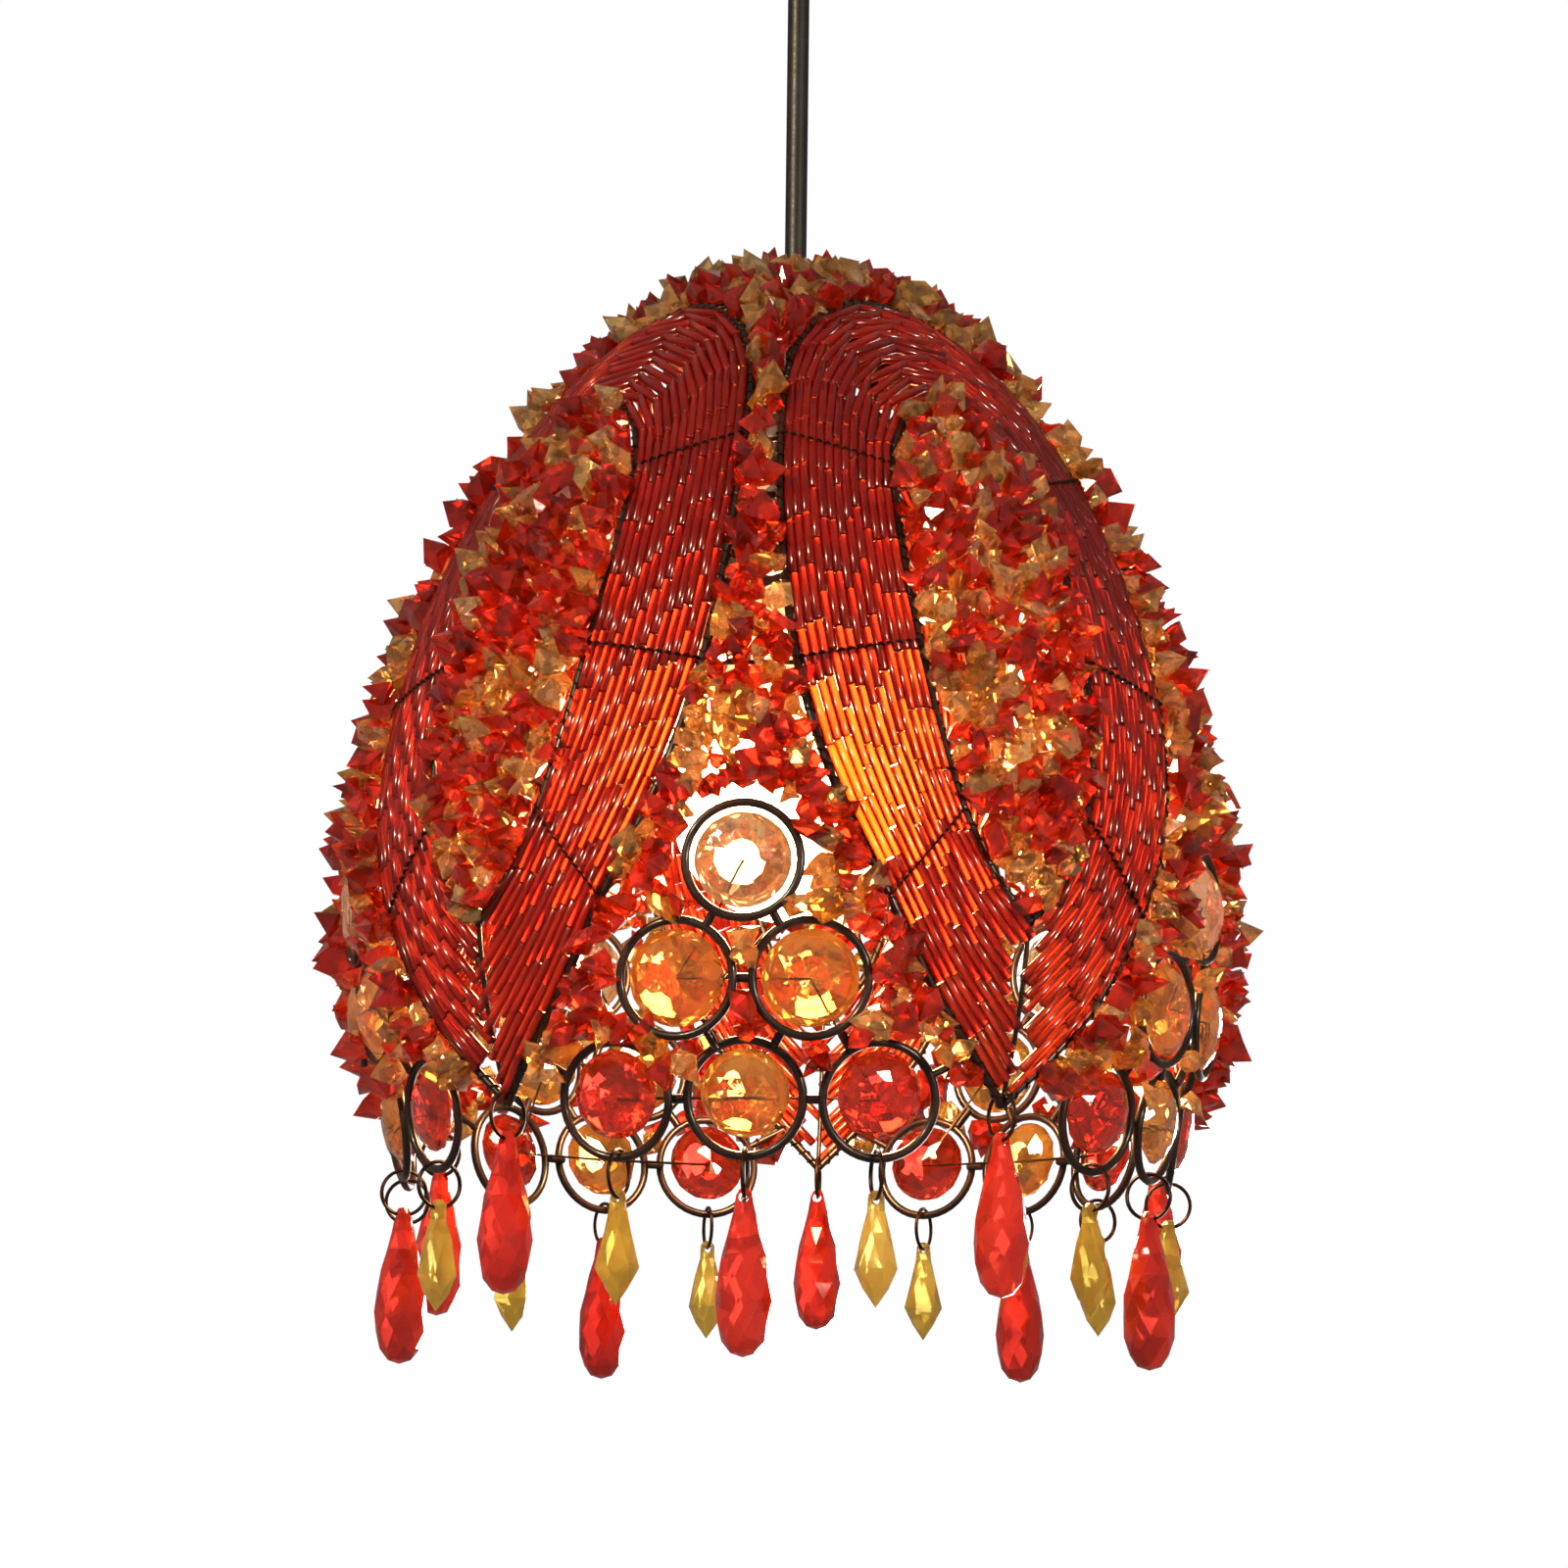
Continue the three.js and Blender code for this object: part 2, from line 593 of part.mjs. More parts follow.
/** One gap's stones, on the wire that strings them behind the rings. */
function stoneCluster(middle) {
  const pieces = rings.spots.map((spot) => {
    const gap = spot.row === 0 ? RIM_STONE_GAP : UPPER_STONE_GAP;
    const lift = spot.row === 0 ? RIM_STONE_LIFT : 0;
    return stone(STONE_ROOM - gap).translate(0, lift, 0).applyMatrix4(ringPlace(spot, middle));
  });
  const behind = new THREE.Vector3(0, 0, -STRING_DEPTH_SHARE * STONE_DEPTH);
  const string = [0, 1, 2, 4, 3, 5].map((index) =>
    behind.clone().applyMatrix4(ringPlace(rings.spots[index], middle)));
  for (const index of range(string.length - 1)) {
    pieces.push(wire(string.slice(index, index + 2), STRINGING_WIRE_RADIUS));
  }
  return joined(pieces);
}

// ---- The fringe ----

/** A jump ring in the plane of X = 0, with a straight side at its top and bottom. */
function jumpRing() {
  const sides = 8;
  const corner = JUMP_RING_RADIUS / Math.cos(Math.PI / sides);
  return new THREE.TorusGeometry(corner, JUMP_WIRE_RADIUS, 4, sides)
    .rotateZ(Math.PI / 2 + Math.PI / sides)
    .rotateX(Math.PI / 2)
    .rotateZ(Math.PI / 2);
}

/** A drop that hangs from the top of its hole, with the hole's centre at the origin. */
function drop({ length, radius, neck, widest, shoulder, heel }) {
  const top = DROP_HOLE_DEPTH;
  const points = [
    [0, top - length], [heel * radius, top - shoulder * length], [radius, top - widest * length],
    [neck, -DROP_NECK_START * top], [neck * DROP_TOP_SHARE, DROP_NECK_END * top], [0, top],
  ];
  const body = turned(points, 6);
  const hole = new THREE.CylinderGeometry(DROP_HOLE_RADIUS, DROP_HOLE_RADIUS, 4 * neck, 8);
  return cut(body, [hole]);
}

/** Where each pendant hangs: the frame wire's circle and height, and how far over it the ring rests. */
function hangingPlace(index) {
  const atPetalTip = index % (RING_ROWS + 1) === (RING_ROWS + 1) / 2;
  if (atPetalTip) {
    return { radius: domeRadius(PETAL_TIP_HEIGHT), height: PETAL_TIP_HEIGHT, seat: TIP_SEAT };
  }
  return { radius: RIM_WIRE_CIRCLE, height: RIM_WIRE_HEIGHT, seat: WIRE_RADIUS };
}

// ---- The lampholder and the bulb ----

/** The lampholder, open at the cord's hole and at its socket. */
function lampholder() {
  const socketTop = HOLDER_BOTTOM + SOCKET_DEPTH;
  const flange = CARRIER_HEIGHT + WIRE_RADIUS + CLEARANCE;
  return turned([
    [CORD_BORE, HOLDER_TOP], [CORD_BORE, socketTop], [SOCKET_RADIUS, socketTop],
    [SOCKET_RADIUS, HOLDER_BOTTOM], [HOLDER_RADIUS, HOLDER_BOTTOM], [HOLDER_RADIUS, flange],
    [FLANGE_RADIUS, flange], [FLANGE_RADIUS, flange + FLANGE_THICKNESS],
    [HOLDER_RADIUS, flange + FLANGE_THICKNESS + FLANGE_TAPER], [HOLDER_RADIUS, HOLDER_SHOULDER],
    [NIPPLE_RADIUS, HOLDER_TOP - NIPPLE_LENGTH], [NIPPLE_RADIUS, HOLDER_TOP], [CORD_BORE, HOLDER_TOP],
  ], 12);
}

/** The threaded ring that clamps the carrier ring under the lampholder's flange. */
function shadeRing() {
  const top = CARRIER_HEIGHT - WIRE_RADIUS - CLEARANCE;
  const bottom = top - SHADE_RING_LENGTH;
  const bore = HOLDER_RADIUS + CLEARANCE;
  const waist = SHADE_RING_RADIUS - SHADE_RING_LIP;
  return turned([
    [bore, top], [bore, bottom], [waist, bottom], [waist, top - SHADE_RING_LIP],
    [SHADE_RING_RADIUS, top - SHADE_RING_LIP], [SHADE_RING_RADIUS, top], [bore, top],
  ], 12);
}

/** The bulb, with its cap in the socket. */
function bulb() {
  const top = HOLDER_BOTTOM + SOCKET_DEPTH - CLEARANCE;
  const bottom = top - BULB_LENGTH;
  const centre = bottom + BULB_RADIUS;
  const globe = range(GLOBE_STEPS).map((step) => {
    const turn = radians(step * GLOBE_STEP_ANGLE);
    return [BULB_RADIUS * Math.sin(turn), centre - BULB_RADIUS * Math.cos(turn)];
  });
  const capBottom = top - SOCKET_DEPTH + CLEARANCE;
  return turned([
    ...globe,
    [BULB_NECK.radiusShare * BULB_RADIUS, centre + BULB_NECK.heightShare * BULB_RADIUS],
    [BULB_CAP_RADIUS + BULB_NECK.flare, capBottom - BULB_NECK.length],
    [BULB_CAP_RADIUS, capBottom],
    [BULB_CAP_RADIUS, top - BULB_CAP_TAPER],
    [BULB_CAP_TIP_SHARE * BULB_CAP_RADIUS, top],
    [0, top],
  ], 12);
}

// ---- The cord and the ceiling fitting, with heights below the ceiling ----

/** The cord, from inside the lampholder's nipple to inside the ceiling cup. */
function cord() {
  const start = HOLDER_TOP - CORD_SEAT - CEILING_TO_RIM;
  const end = -CUP_HEIGHT + GRIP_STEM_LENGTH + CORD_TAIL;
  const steps = Math.ceil((end - start) / CORD_STEP);
  const points = range(steps + 1).map((step) => new THREE.Vector3(0, 0, start + (step * (end - start)) / steps));
  return wire(points, CORD_RADIUS, CORD_SIDES);
}

/** The cord grip, through the hole in the bottom of the cup. */
function cordGrip() {
  const top = -CUP_HEIGHT + GRIP_STEM_LENGTH;
  const seat = -CUP_HEIGHT - CLEARANCE;
  const bottom = seat - GRIP_COLLAR_LENGTH;
  return turned([
    [CORD_BORE, top], [CORD_BORE, bottom], [GRIP_MOUTH_SHARE * GRIP_COLLAR_RADIUS, bottom],
    [GRIP_COLLAR_RADIUS, bottom + GRIP_TAPER], [GRIP_COLLAR_RADIUS, seat], [GRIP_STEM_RADIUS, seat],
    [GRIP_STEM_RADIUS, top], [CORD_BORE, top],
  ], 12);
}

/** Move a cylinder along Y to lie along X at the cup screw's height. */
function alongScrew(cylinder, from) {
  return cylinder.rotateZ(Math.PI / 2).translate(from, 0, -SCREW_DROP);
}

/** The ceiling cup, open at the ceiling, with its cord hole and its screw hole. */
function ceilingCup() {
  const hole = GRIP_STEM_RADIUS + CLEARANCE;
  const inner = CUP_RADIUS - CUP_WALL;
  const ceiling = -CUP_HEIGHT + CUP_WALL;
  const cup = turned([
    [hole, -CUP_HEIGHT],
    ...CUP_OUTSIDE.map(([out, down]) => [out * CUP_RADIUS, -down * CUP_HEIGHT]),
    [inner, 0],
    ...CUP_INSIDE.map(([down, out]) => [out * inner, -down * CUP_HEIGHT]),
    [CUP_FLAT_SHARE * inner, ceiling],
    [hole, ceiling],
    [hole, -CUP_HEIGHT],
  ], 18);
  const room = SCREW_RADIUS + CLEARANCE;
  const screwHole = alongScrew(new THREE.CylinderGeometry(room, room, 4 * CUP_WALL, 10), CUP_RADIUS);
  return cut(cup, [screwHole]);
}

/** The strap on the ceiling, with an ear down each end and two slots for its ceiling screws. */
function ceilingBracket() {
  const corner = Math.sqrt((CUP_RADIUS - CUP_WALL) ** 2 - (BRACKET_WIDTH / 2) ** 2);
  const reach = corner - CLEARANCE - BRACKET_INSET;
  const inside = reach - BRACKET_THICKNESS;
  const profile = new THREE.Shape([
    [-reach, -BRACKET_EAR], [-inside, -BRACKET_EAR],
    [-inside, -BRACKET_THICKNESS], [inside, -BRACKET_THICKNESS],
    [inside, -BRACKET_EAR], [reach, -BRACKET_EAR], [reach, 0], [-reach, 0],
  ].map(([x, z]) => new THREE.Vector2(x, z)));
  const strap = new THREE.ExtrudeGeometry(profile, { depth: BRACKET_WIDTH, bevelEnabled: false })
    .rotateX(Math.PI / 2)
    .translate(0, BRACKET_WIDTH / 2, 0);
  const slots = [-1, 1].map((side) =>
    new THREE.BoxGeometry(BRACKET_SLOT_LENGTH, BRACKET_SLOT_WIDTH, 3 * BRACKET_THICKNESS)
      .translate((side * BRACKET_SLOT_SPACING) / 2, 0, 0));
  const room = SCREW_RADIUS + CLEARANCE;
  const screwHole = alongScrew(new THREE.CylinderGeometry(room, room, 3 * BRACKET_THICKNESS, 10), reach);
  return cut(strap, [...slots, screwHole]);
}

/** The screw through the cup's wall into the bracket's ear. */
function cupScrew() {
  const head = new THREE.CylinderGeometry(SCREW_HEAD_RADIUS, SCREW_HEAD_RADIUS, SCREW_HEAD_LENGTH, 10);
  const shank = new THREE.CylinderGeometry(SCREW_RADIUS, SCREW_RADIUS, SCREW_LENGTH, 10);
  const seat = CUP_RADIUS + CLEARANCE;
  return joined([
    alongScrew(head, seat + SCREW_HEAD_LENGTH / 2),
    alongScrew(shank, seat + SCREW_OVERLAP - SCREW_LENGTH / 2),
  ]);
}

// ---- Materials and assembly ----

const finish = (color, roughness, metalness) => new THREE.MeshStandardMaterial({ color, roughness, metalness });
const ironFinish = finish('#2a1a14', 0.45, 0.8);
const bandFinish = finish('#a30f12', 0.25, 0);
const chipFinish = finish('#c2402a', 0.15, 0);
const stoneFinish = finish('#d8813a', 0.1, 0);
const redFinish = finish('#c3302a', 0.12, 0);
const goldFinish = finish('#b8901f', 0.12, 0);
const blackFinish = finish('#121110', 0.5, 0);
const bulbFinish = finish('#fff3d8', 0.2, 0);
const steelFinish = finish('#b9bcbf', 0.35, 0.9);

function named(name, geometry, material) {
  const mesh = new THREE.Mesh(geometry, material);
  mesh.name = name;
  return mesh;
}

/** One pendant: its jump ring over the frame wire and its drop in the jump ring. */
function pendant(index) {
  const number = String(index + 1).padStart(2, '0');
  const { radius, height, seat } = hangingPlace(index);
  const isRed = index % 2 === 0;
  const ring = named(`jump_ring_${number}`, jumpRing(), steelFinish);
  const ringCentreHeight = height + seat + CLEARANCE - (JUMP_RING_RADIUS - JUMP_WIRE_RADIUS);
  ring.position.set(0, -radius, ringCentreHeight);
  const colour = isRed ? 'red' : 'gold';
  const [size, skin] = isRed ? [RED_DROP, redFinish] : [GOLD_DROP, goldFinish];
  const body = named(`${colour}_drop_${number}`, drop(size), skin);
  const holeReach = DROP_HOLE_RADIUS * Math.cos(Math.PI / 8);
  const wireHeight = ringCentreHeight - JUMP_RING_RADIUS;
  body.position.set(0, -radius, wireHeight + JUMP_WIRE_RADIUS + DROP_GAP - holeReach);
  const group = new THREE.Group();
  group.rotation.z = radians(index * HANG_ANGLE);
  group.add(ring, body);
  return group;
}

/** The shade and everything that is placed from its rim. */
function shade() {
  const group = new THREE.Group();
  group.position.z = -CEILING_TO_RIM;
  group.add(named('wire_frame', wireFrame(), ironFinish));
  group.add(named('chip_beads', chipBeads(), chipFinish));
  for (const index of range(SECTORS)) {
    group.add(named(`bead_band_${index + 1}`, beadBand((index + 0.5) * SECTOR_ANGLE), bandFinish));
    group.add(named(`stone_cluster_${index + 1}`, stoneCluster(index * SECTOR_ANGLE), stoneFinish));
  }
  range(SECTORS * (RING_ROWS + 1)).forEach((index) => group.add(pendant(index)));
  group.add(named('lampholder', lampholder(), blackFinish));
  group.add(named('shade_ring', shadeRing(), blackFinish));
  group.add(named('bulb', bulb(), bulbFinish));
  return group;
}

const lamp = new THREE.Group();
lamp.add(shade());
lamp.add(named('cord', cord(), blackFinish));
lamp.add(named('cord_grip', cordGrip(), blackFinish));
lamp.add(named('ceiling_cup', ceilingCup(), blackFinish));
lamp.add(named('ceiling_bracket', ceilingBracket(), steelFinish));
lamp.add(named('cup_screw', cupScrew(), steelFinish));

export default lamp;
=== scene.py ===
"""A hanging pendant lamp: a domed wire shade threaded with beads, with a fringe of faceted drops.

Lengths are metres, angles of spots are degrees round the axis from -Y towards +X, and heights of
spots are above the bottom of the rim.
"""

import logging
import math
import random
from dataclasses import dataclass, field
from enum import Enum
from typing import Callable, Iterable, NamedTuple, Sequence

import bmesh
import bpy
import numpy as np
from mathutils import Matrix, Vector, noise

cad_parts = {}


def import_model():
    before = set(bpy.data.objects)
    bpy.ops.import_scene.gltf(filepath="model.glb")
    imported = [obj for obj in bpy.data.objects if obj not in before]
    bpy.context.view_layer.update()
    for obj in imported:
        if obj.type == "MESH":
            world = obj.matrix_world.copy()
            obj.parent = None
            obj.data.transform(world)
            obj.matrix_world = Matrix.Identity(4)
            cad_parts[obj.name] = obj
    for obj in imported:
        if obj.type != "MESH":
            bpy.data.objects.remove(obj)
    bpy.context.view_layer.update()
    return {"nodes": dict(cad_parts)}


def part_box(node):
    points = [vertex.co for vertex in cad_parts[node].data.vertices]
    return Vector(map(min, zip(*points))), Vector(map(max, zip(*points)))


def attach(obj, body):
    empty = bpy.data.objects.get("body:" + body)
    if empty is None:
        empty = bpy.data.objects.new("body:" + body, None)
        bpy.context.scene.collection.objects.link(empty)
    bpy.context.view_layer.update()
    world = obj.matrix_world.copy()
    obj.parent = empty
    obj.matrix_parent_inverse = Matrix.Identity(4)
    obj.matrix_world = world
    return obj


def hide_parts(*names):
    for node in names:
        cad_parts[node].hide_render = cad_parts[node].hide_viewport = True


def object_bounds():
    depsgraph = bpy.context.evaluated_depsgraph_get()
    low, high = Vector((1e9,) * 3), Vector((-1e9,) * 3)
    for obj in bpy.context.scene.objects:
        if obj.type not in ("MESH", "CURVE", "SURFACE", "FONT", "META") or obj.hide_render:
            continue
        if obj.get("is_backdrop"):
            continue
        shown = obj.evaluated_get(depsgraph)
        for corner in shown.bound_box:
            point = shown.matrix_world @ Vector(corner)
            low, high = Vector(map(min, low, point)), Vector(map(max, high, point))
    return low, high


MM = 0.001
SEED = 20
LAMP_BODY = "lamp"
LOG = logging.getLogger("pendant_lamp")


# ---- Colour and shader nodes ----


def linear(code: str) -> tuple[float, float, float, float]:
    """Turn an sRGB hex colour into linear red, green, blue and alpha.

    Args:
        code: Six hex digits after a hash sign.

    Returns:
        The linear colour with an alpha of one.
    """
    shares = [int(code[at : at + 2], 16) / 255 for at in (1, 3, 5)]
    channels = [s / 12.92 if s <= 0.04045 else ((s + 0.055) / 1.055) ** 2.4 for s in shares]
    return (channels[0], channels[1], channels[2], 1.0)


def set_stops(ramp: bpy.types.ColorRamp, stops: Sequence[tuple[float, str]]) -> None:
    """Give a colour ramp its stops.

    Args:
        ramp: The ramp.
        stops: Places from 0 to 1 with their hex colours, in order.
    """
    while len(ramp.elements) < len(stops):
        ramp.elements.new(0.5)
    for element, (place, code) in zip(ramp.elements, stops):
        element.position = place
        element.color = linear(code)


def add_node(
    tree: bpy.types.NodeTree, kind: str, settings: dict, links: dict | None = None
) -> bpy.types.Node:
    """Add a shader node with its settings and its incoming links.

    Args:
        tree: The material's or world's node tree.
        kind: The node's type, without its ShaderNode prefix.
        settings: Values by property name or by input name or number, or a ramp's stops.
        links: Output sockets by the name or number of the input that they feed.

    Returns:
        The new node.
    """
    node = tree.nodes.new("ShaderNode" + kind)
    for name, value in settings.items():
        if name == "stops":
            set_stops(node.color_ramp, value)
        elif isinstance(name, str) and hasattr(node, name):
            setattr(node, name, value)
        else:
            node.inputs[name].default_value = value
    for name, socket in (links or {}).items():
        tree.links.new(socket, node.inputs[name])
    return node


def empty_material(
    name: str,
) -> tuple[bpy.types.Material, bpy.types.NodeTree, bpy.types.NodeSocket]:
    """Start a material with an output node only.

    Args:
        name: The material's name.

    Returns:
        The material, its node tree and the output's surface socket.
    """
    material = bpy.data.materials.new(name)
    material.use_nodes = True
    tree = material.node_tree
    tree.nodes.clear()
    output = tree.nodes.new("ShaderNodeOutputMaterial")
    return material, tree, output.inputs["Surface"]


# Nearly all of a noise's values lie between these two.
NOISE_LOW, NOISE_HIGH = 0.3, 0.7


@dataclass(frozen=True)
class SolidFinish:
    """An opaque finish: metal, paint, rubber or hard plastic, with grain, mottling and wear.

    Its colour patches are ten grains across. Glow is light of its own, for the studio's floor.
    """

    name: str
    dark: str
    light: str
    metallic: float = 0.0
    roughness: tuple[float, float] = (0.35, 0.5)
    grain: float = 1.2 * MM
    grain_height: float = 0.03 * MM
    relief: float = 0.6
    coat: float = 0.0
    coat_roughness: float = 0.12
    ior: float = 1.5
    glow: float = 0.0
    mottle: tuple[float, float] = (0.35, 0.68)

    def make(self) -> bpy.types.Material:
        """Make the material.

        Returns:
            The material, with colour, roughness and bump from noise at the grain's real size.
        """
        material, tree, surface = empty_material(self.name)
        place = add_node(tree, "TexCoord", {}).outputs["Object"]
        patches = add_node(
            tree, "TexNoise", {"Scale": 0.1 / self.grain, "Detail": 5.0}, {"Vector": place}
        )
        grain = add_node(tree, "TexNoise", {"Scale": 1 / self.grain, "Detail": 3.0}, {"Vector": place})
        stops = list(zip(self.mottle, (self.dark, self.light)))
        colour = add_node(tree, "ValToRGB", {"stops": stops}, {"Fac": patches.outputs["Fac"]})
        low, high = self.roughness
        rough = add_node(
            tree, "MapRange",
            {"From Min": NOISE_LOW, "From Max": NOISE_HIGH, "To Min": low, "To Max": high},
            {"Value": grain.outputs["Fac"]},
        )
        bump = add_node(
            tree, "Bump", {"Strength": self.relief, "Distance": self.grain_height},
            {"Height": grain.outputs["Fac"]},
        )
        settings = {
            "Metallic": self.metallic, "Coat Weight": self.coat, "Coat Roughness": self.coat_roughness,
            "Emission Color": linear(self.light), "Emission Strength": self.glow,
        }
        if self.metallic == 0:
            settings["IOR"] = self.ior
        shader = add_node(
            tree, "BsdfPrincipled", settings,
            {
                "Base Color": colour.outputs["Color"], "Roughness": rough.outputs["Result"],
                "Normal": bump.outputs["Normal"],
            },
        )
        tree.links.new(shader.outputs["BSDF"], surface)
        return material


@dataclass(frozen=True)
class ClearFinish:
    """A clear coloured finish, moulded acrylic or drawn glass, whose pieces differ in tint.

    Some of the light goes through as from a thin milky sheet, by the translucency, and some is
    spread about its way through, by the haze. Both are in the lit colour.
    """

    name: str
    stops: tuple[tuple[float, str], ...]
    lit: str = "#ff9a4a"
    roughness: float = 0.08
    transmission: float = 0.8
    translucency: float = 0.25
    ior: float = 1.49
    swirl: float = 5 * MM
    swirl_height: float = 0.04 * MM
    swirl_span: tuple[float, float] = (0.25, 0.75)
    swirl_shift: float = 0.08
    relief: float = 0.5
    # The patches of painted reflection: their size, and how far they scale the colour up or down.
    painted_reflection_size: float = 3 * MM
    depth: float = 0.3
    haze: float = 0.0
    haze_roughness: float = 0.5
    haze_ior: float = 1.1
    wear: float = 1.8
    coat: float = 0.8
    coat_roughness: float = 0.03

    def make(self) -> bpy.types.Material:
        """Make the material.

        Returns:
            The material. Its tint attribute picks each piece's colour. Faint swirls vary it, and so
            do painted reflections: patches as wide as a cut face, lighter or darker at random, that
                stand
            in for the light reflected inside a cut piece.
        """
        material, tree, surface = empty_material(self.name)
        place = add_node(tree, "TexCoord", {}).outputs["Object"]
        tint = add_node(tree, "Attribute", {"attribute_name": "tint"}).outputs["Fac"]
        swirl = add_node(tree, "TexNoise", {"Scale": 1 / self.swirl, "Detail": 3.0}, {"Vector": place})
        low, high = self.swirl_span
        shift = add_node(
            tree, "MapRange",
            {"From Min": low, "From Max": high, "To Min": -self.swirl_shift, "To Max": self.swirl_shift},
            {"Value": swirl.outputs["Fac"]},
        )
        # Painted reflections: each cell, as wide as a cut face, makes the colour lighter or darker,
        # standing in for light reflected inside a cut piece.
        painted_reflection_cells = add_node(tree, "TexVoronoi", {"Scale": 1 / self.painted_reflection_size}, {"Vector": place})
        painted_reflection_pick = add_node(tree, "SeparateColor", {}, {"Color": painted_reflection_cells.outputs["Color"]})
        patch = add_node(
            tree, "MapRange", {"To Min": 1 - self.depth, "To Max": 1 + self.depth},
            {"Value": painted_reflection_pick.outputs["Red"]},
        )
        factor = add_node(tree, "Math", {"operation": "ADD"}, {0: tint, 1: shift.outputs["Result"]})
        plain = add_node(tree, "ValToRGB", {"stops": self.stops}, {"Fac": factor.outputs["Value"]})
        colour = add_node(
            tree, "VectorMath", {"operation": "SCALE"},
            {0: plain.outputs["Color"], "Scale": patch.outputs["Result"]},
        )
        bump = add_node(
            tree, "Bump", {"Strength": self.relief, "Distance": self.swirl_height},
            {"Height": swirl.outputs["Fac"]},
        )
        normal = bump.outputs["Normal"]
        rough = add_node(
            tree, "MapRange",
            {
                "From Min": NOISE_LOW, "From Max": NOISE_HIGH, "To Min": self.roughness,
                "To Max": self.wear * self.roughness,
            },
            {"Value": swirl.outputs["Fac"]},
        )
        shader = add_node(
            tree, "BsdfPrincipled",
            {
                "IOR": self.ior, "Transmission Weight": self.transmission, "Coat Weight": self.coat,
                "Coat Roughness": self.coat_roughness,
            },
            {
                "Base Color": colour.outputs["Vector"], "Roughness": rough.outputs["Result"],
                "Normal": normal,
            },
        )
        lit = linear(self.lit)
        through = add_node(tree, "BsdfTranslucent", {"Color": lit}, {"Normal": normal})
        mixed = add_node(
            tree, "MixShader", {"Fac": self.translucency},
            {1: shader.outputs["BSDF"], 2: through.outputs["BSDF"]},
        )
        spread = add_node(
            tree, "BsdfRefraction",
            {"Color": lit, "Roughness": self.haze_roughness, "IOR": self.haze_ior}, {"Normal": normal},
        )
        hazy = add_node(
            tree, "MixShader", {"Fac": self.haze},
            {1: mixed.outputs["Shader"], 2: spread.outputs["BSDF"]},
        )
        tree.links.new(hazy.outputs["Shader"], surface)
        return material


@dataclass(frozen=True)
class LitBulbFinish:
    """Frosted bulb glass, lit from within: brightest at the globe and dimmer towards the cap."""

    globe_top: float
    neck_top: float
    name: str = "frosted bulb glass"
    warm: str = "#ffdca8"
    edge: str = "#ffb866"
    strength: float = 75.0
    neck_share: float = 0.02
    frost: float = 8 * MM
    frost_height: float = 0.02 * MM

    def make(self) -> bpy.types.Material:
        """Make the material.

        Returns:
            The glowing material, mottled a little as frosted glass is.
        """
        material, tree, surface = empty_material(self.name)
        place = add_node(tree, "TexCoord", {}).outputs["Object"]
        frost = add_node(tree, "TexNoise", {"Scale": 1 / self.frost, "Detail": 4.0}, {"Vector": place})
        stops = [(0.3, self.edge), (0.65, self.warm)]
        ramp = add_node(tree, "ValToRGB", {"stops": stops}, {"Fac": frost.outputs["Fac"]})
        colour = ramp.outputs["Color"]
        bump = add_node(
            tree, "Bump", {"Strength": 0.2, "Distance": self.frost_height},
            {"Height": frost.outputs["Fac"]},
        )
        level = add_node(tree, "SeparateXYZ", {}, {"Vector": place}).outputs["Z"]
        strength = add_node(
            tree, "MapRange",
            {
                "From Min": self.globe_top, "From Max": self.neck_top, "To Min": self.strength,
                "To Max": self.neck_share * self.strength,
            },
            {"Value": level},
        )
        shader = add_node(
            tree, "BsdfPrincipled", {"Roughness": 0.45, "IOR": 1.5},
            {
                "Base Color": colour, "Emission Color": colour, "Normal": bump.outputs["Normal"],
                "Emission Strength": strength.outputs["Result"],
            },
        )
        tree.links.new(shader.outputs["BSDF"], surface)
        return material


# Heights over the bulb's lowest point between which its glow fades.
GLOW_FULL_BELOW = 36 * MM
GLOW_GONE_ABOVE = 62 * MM


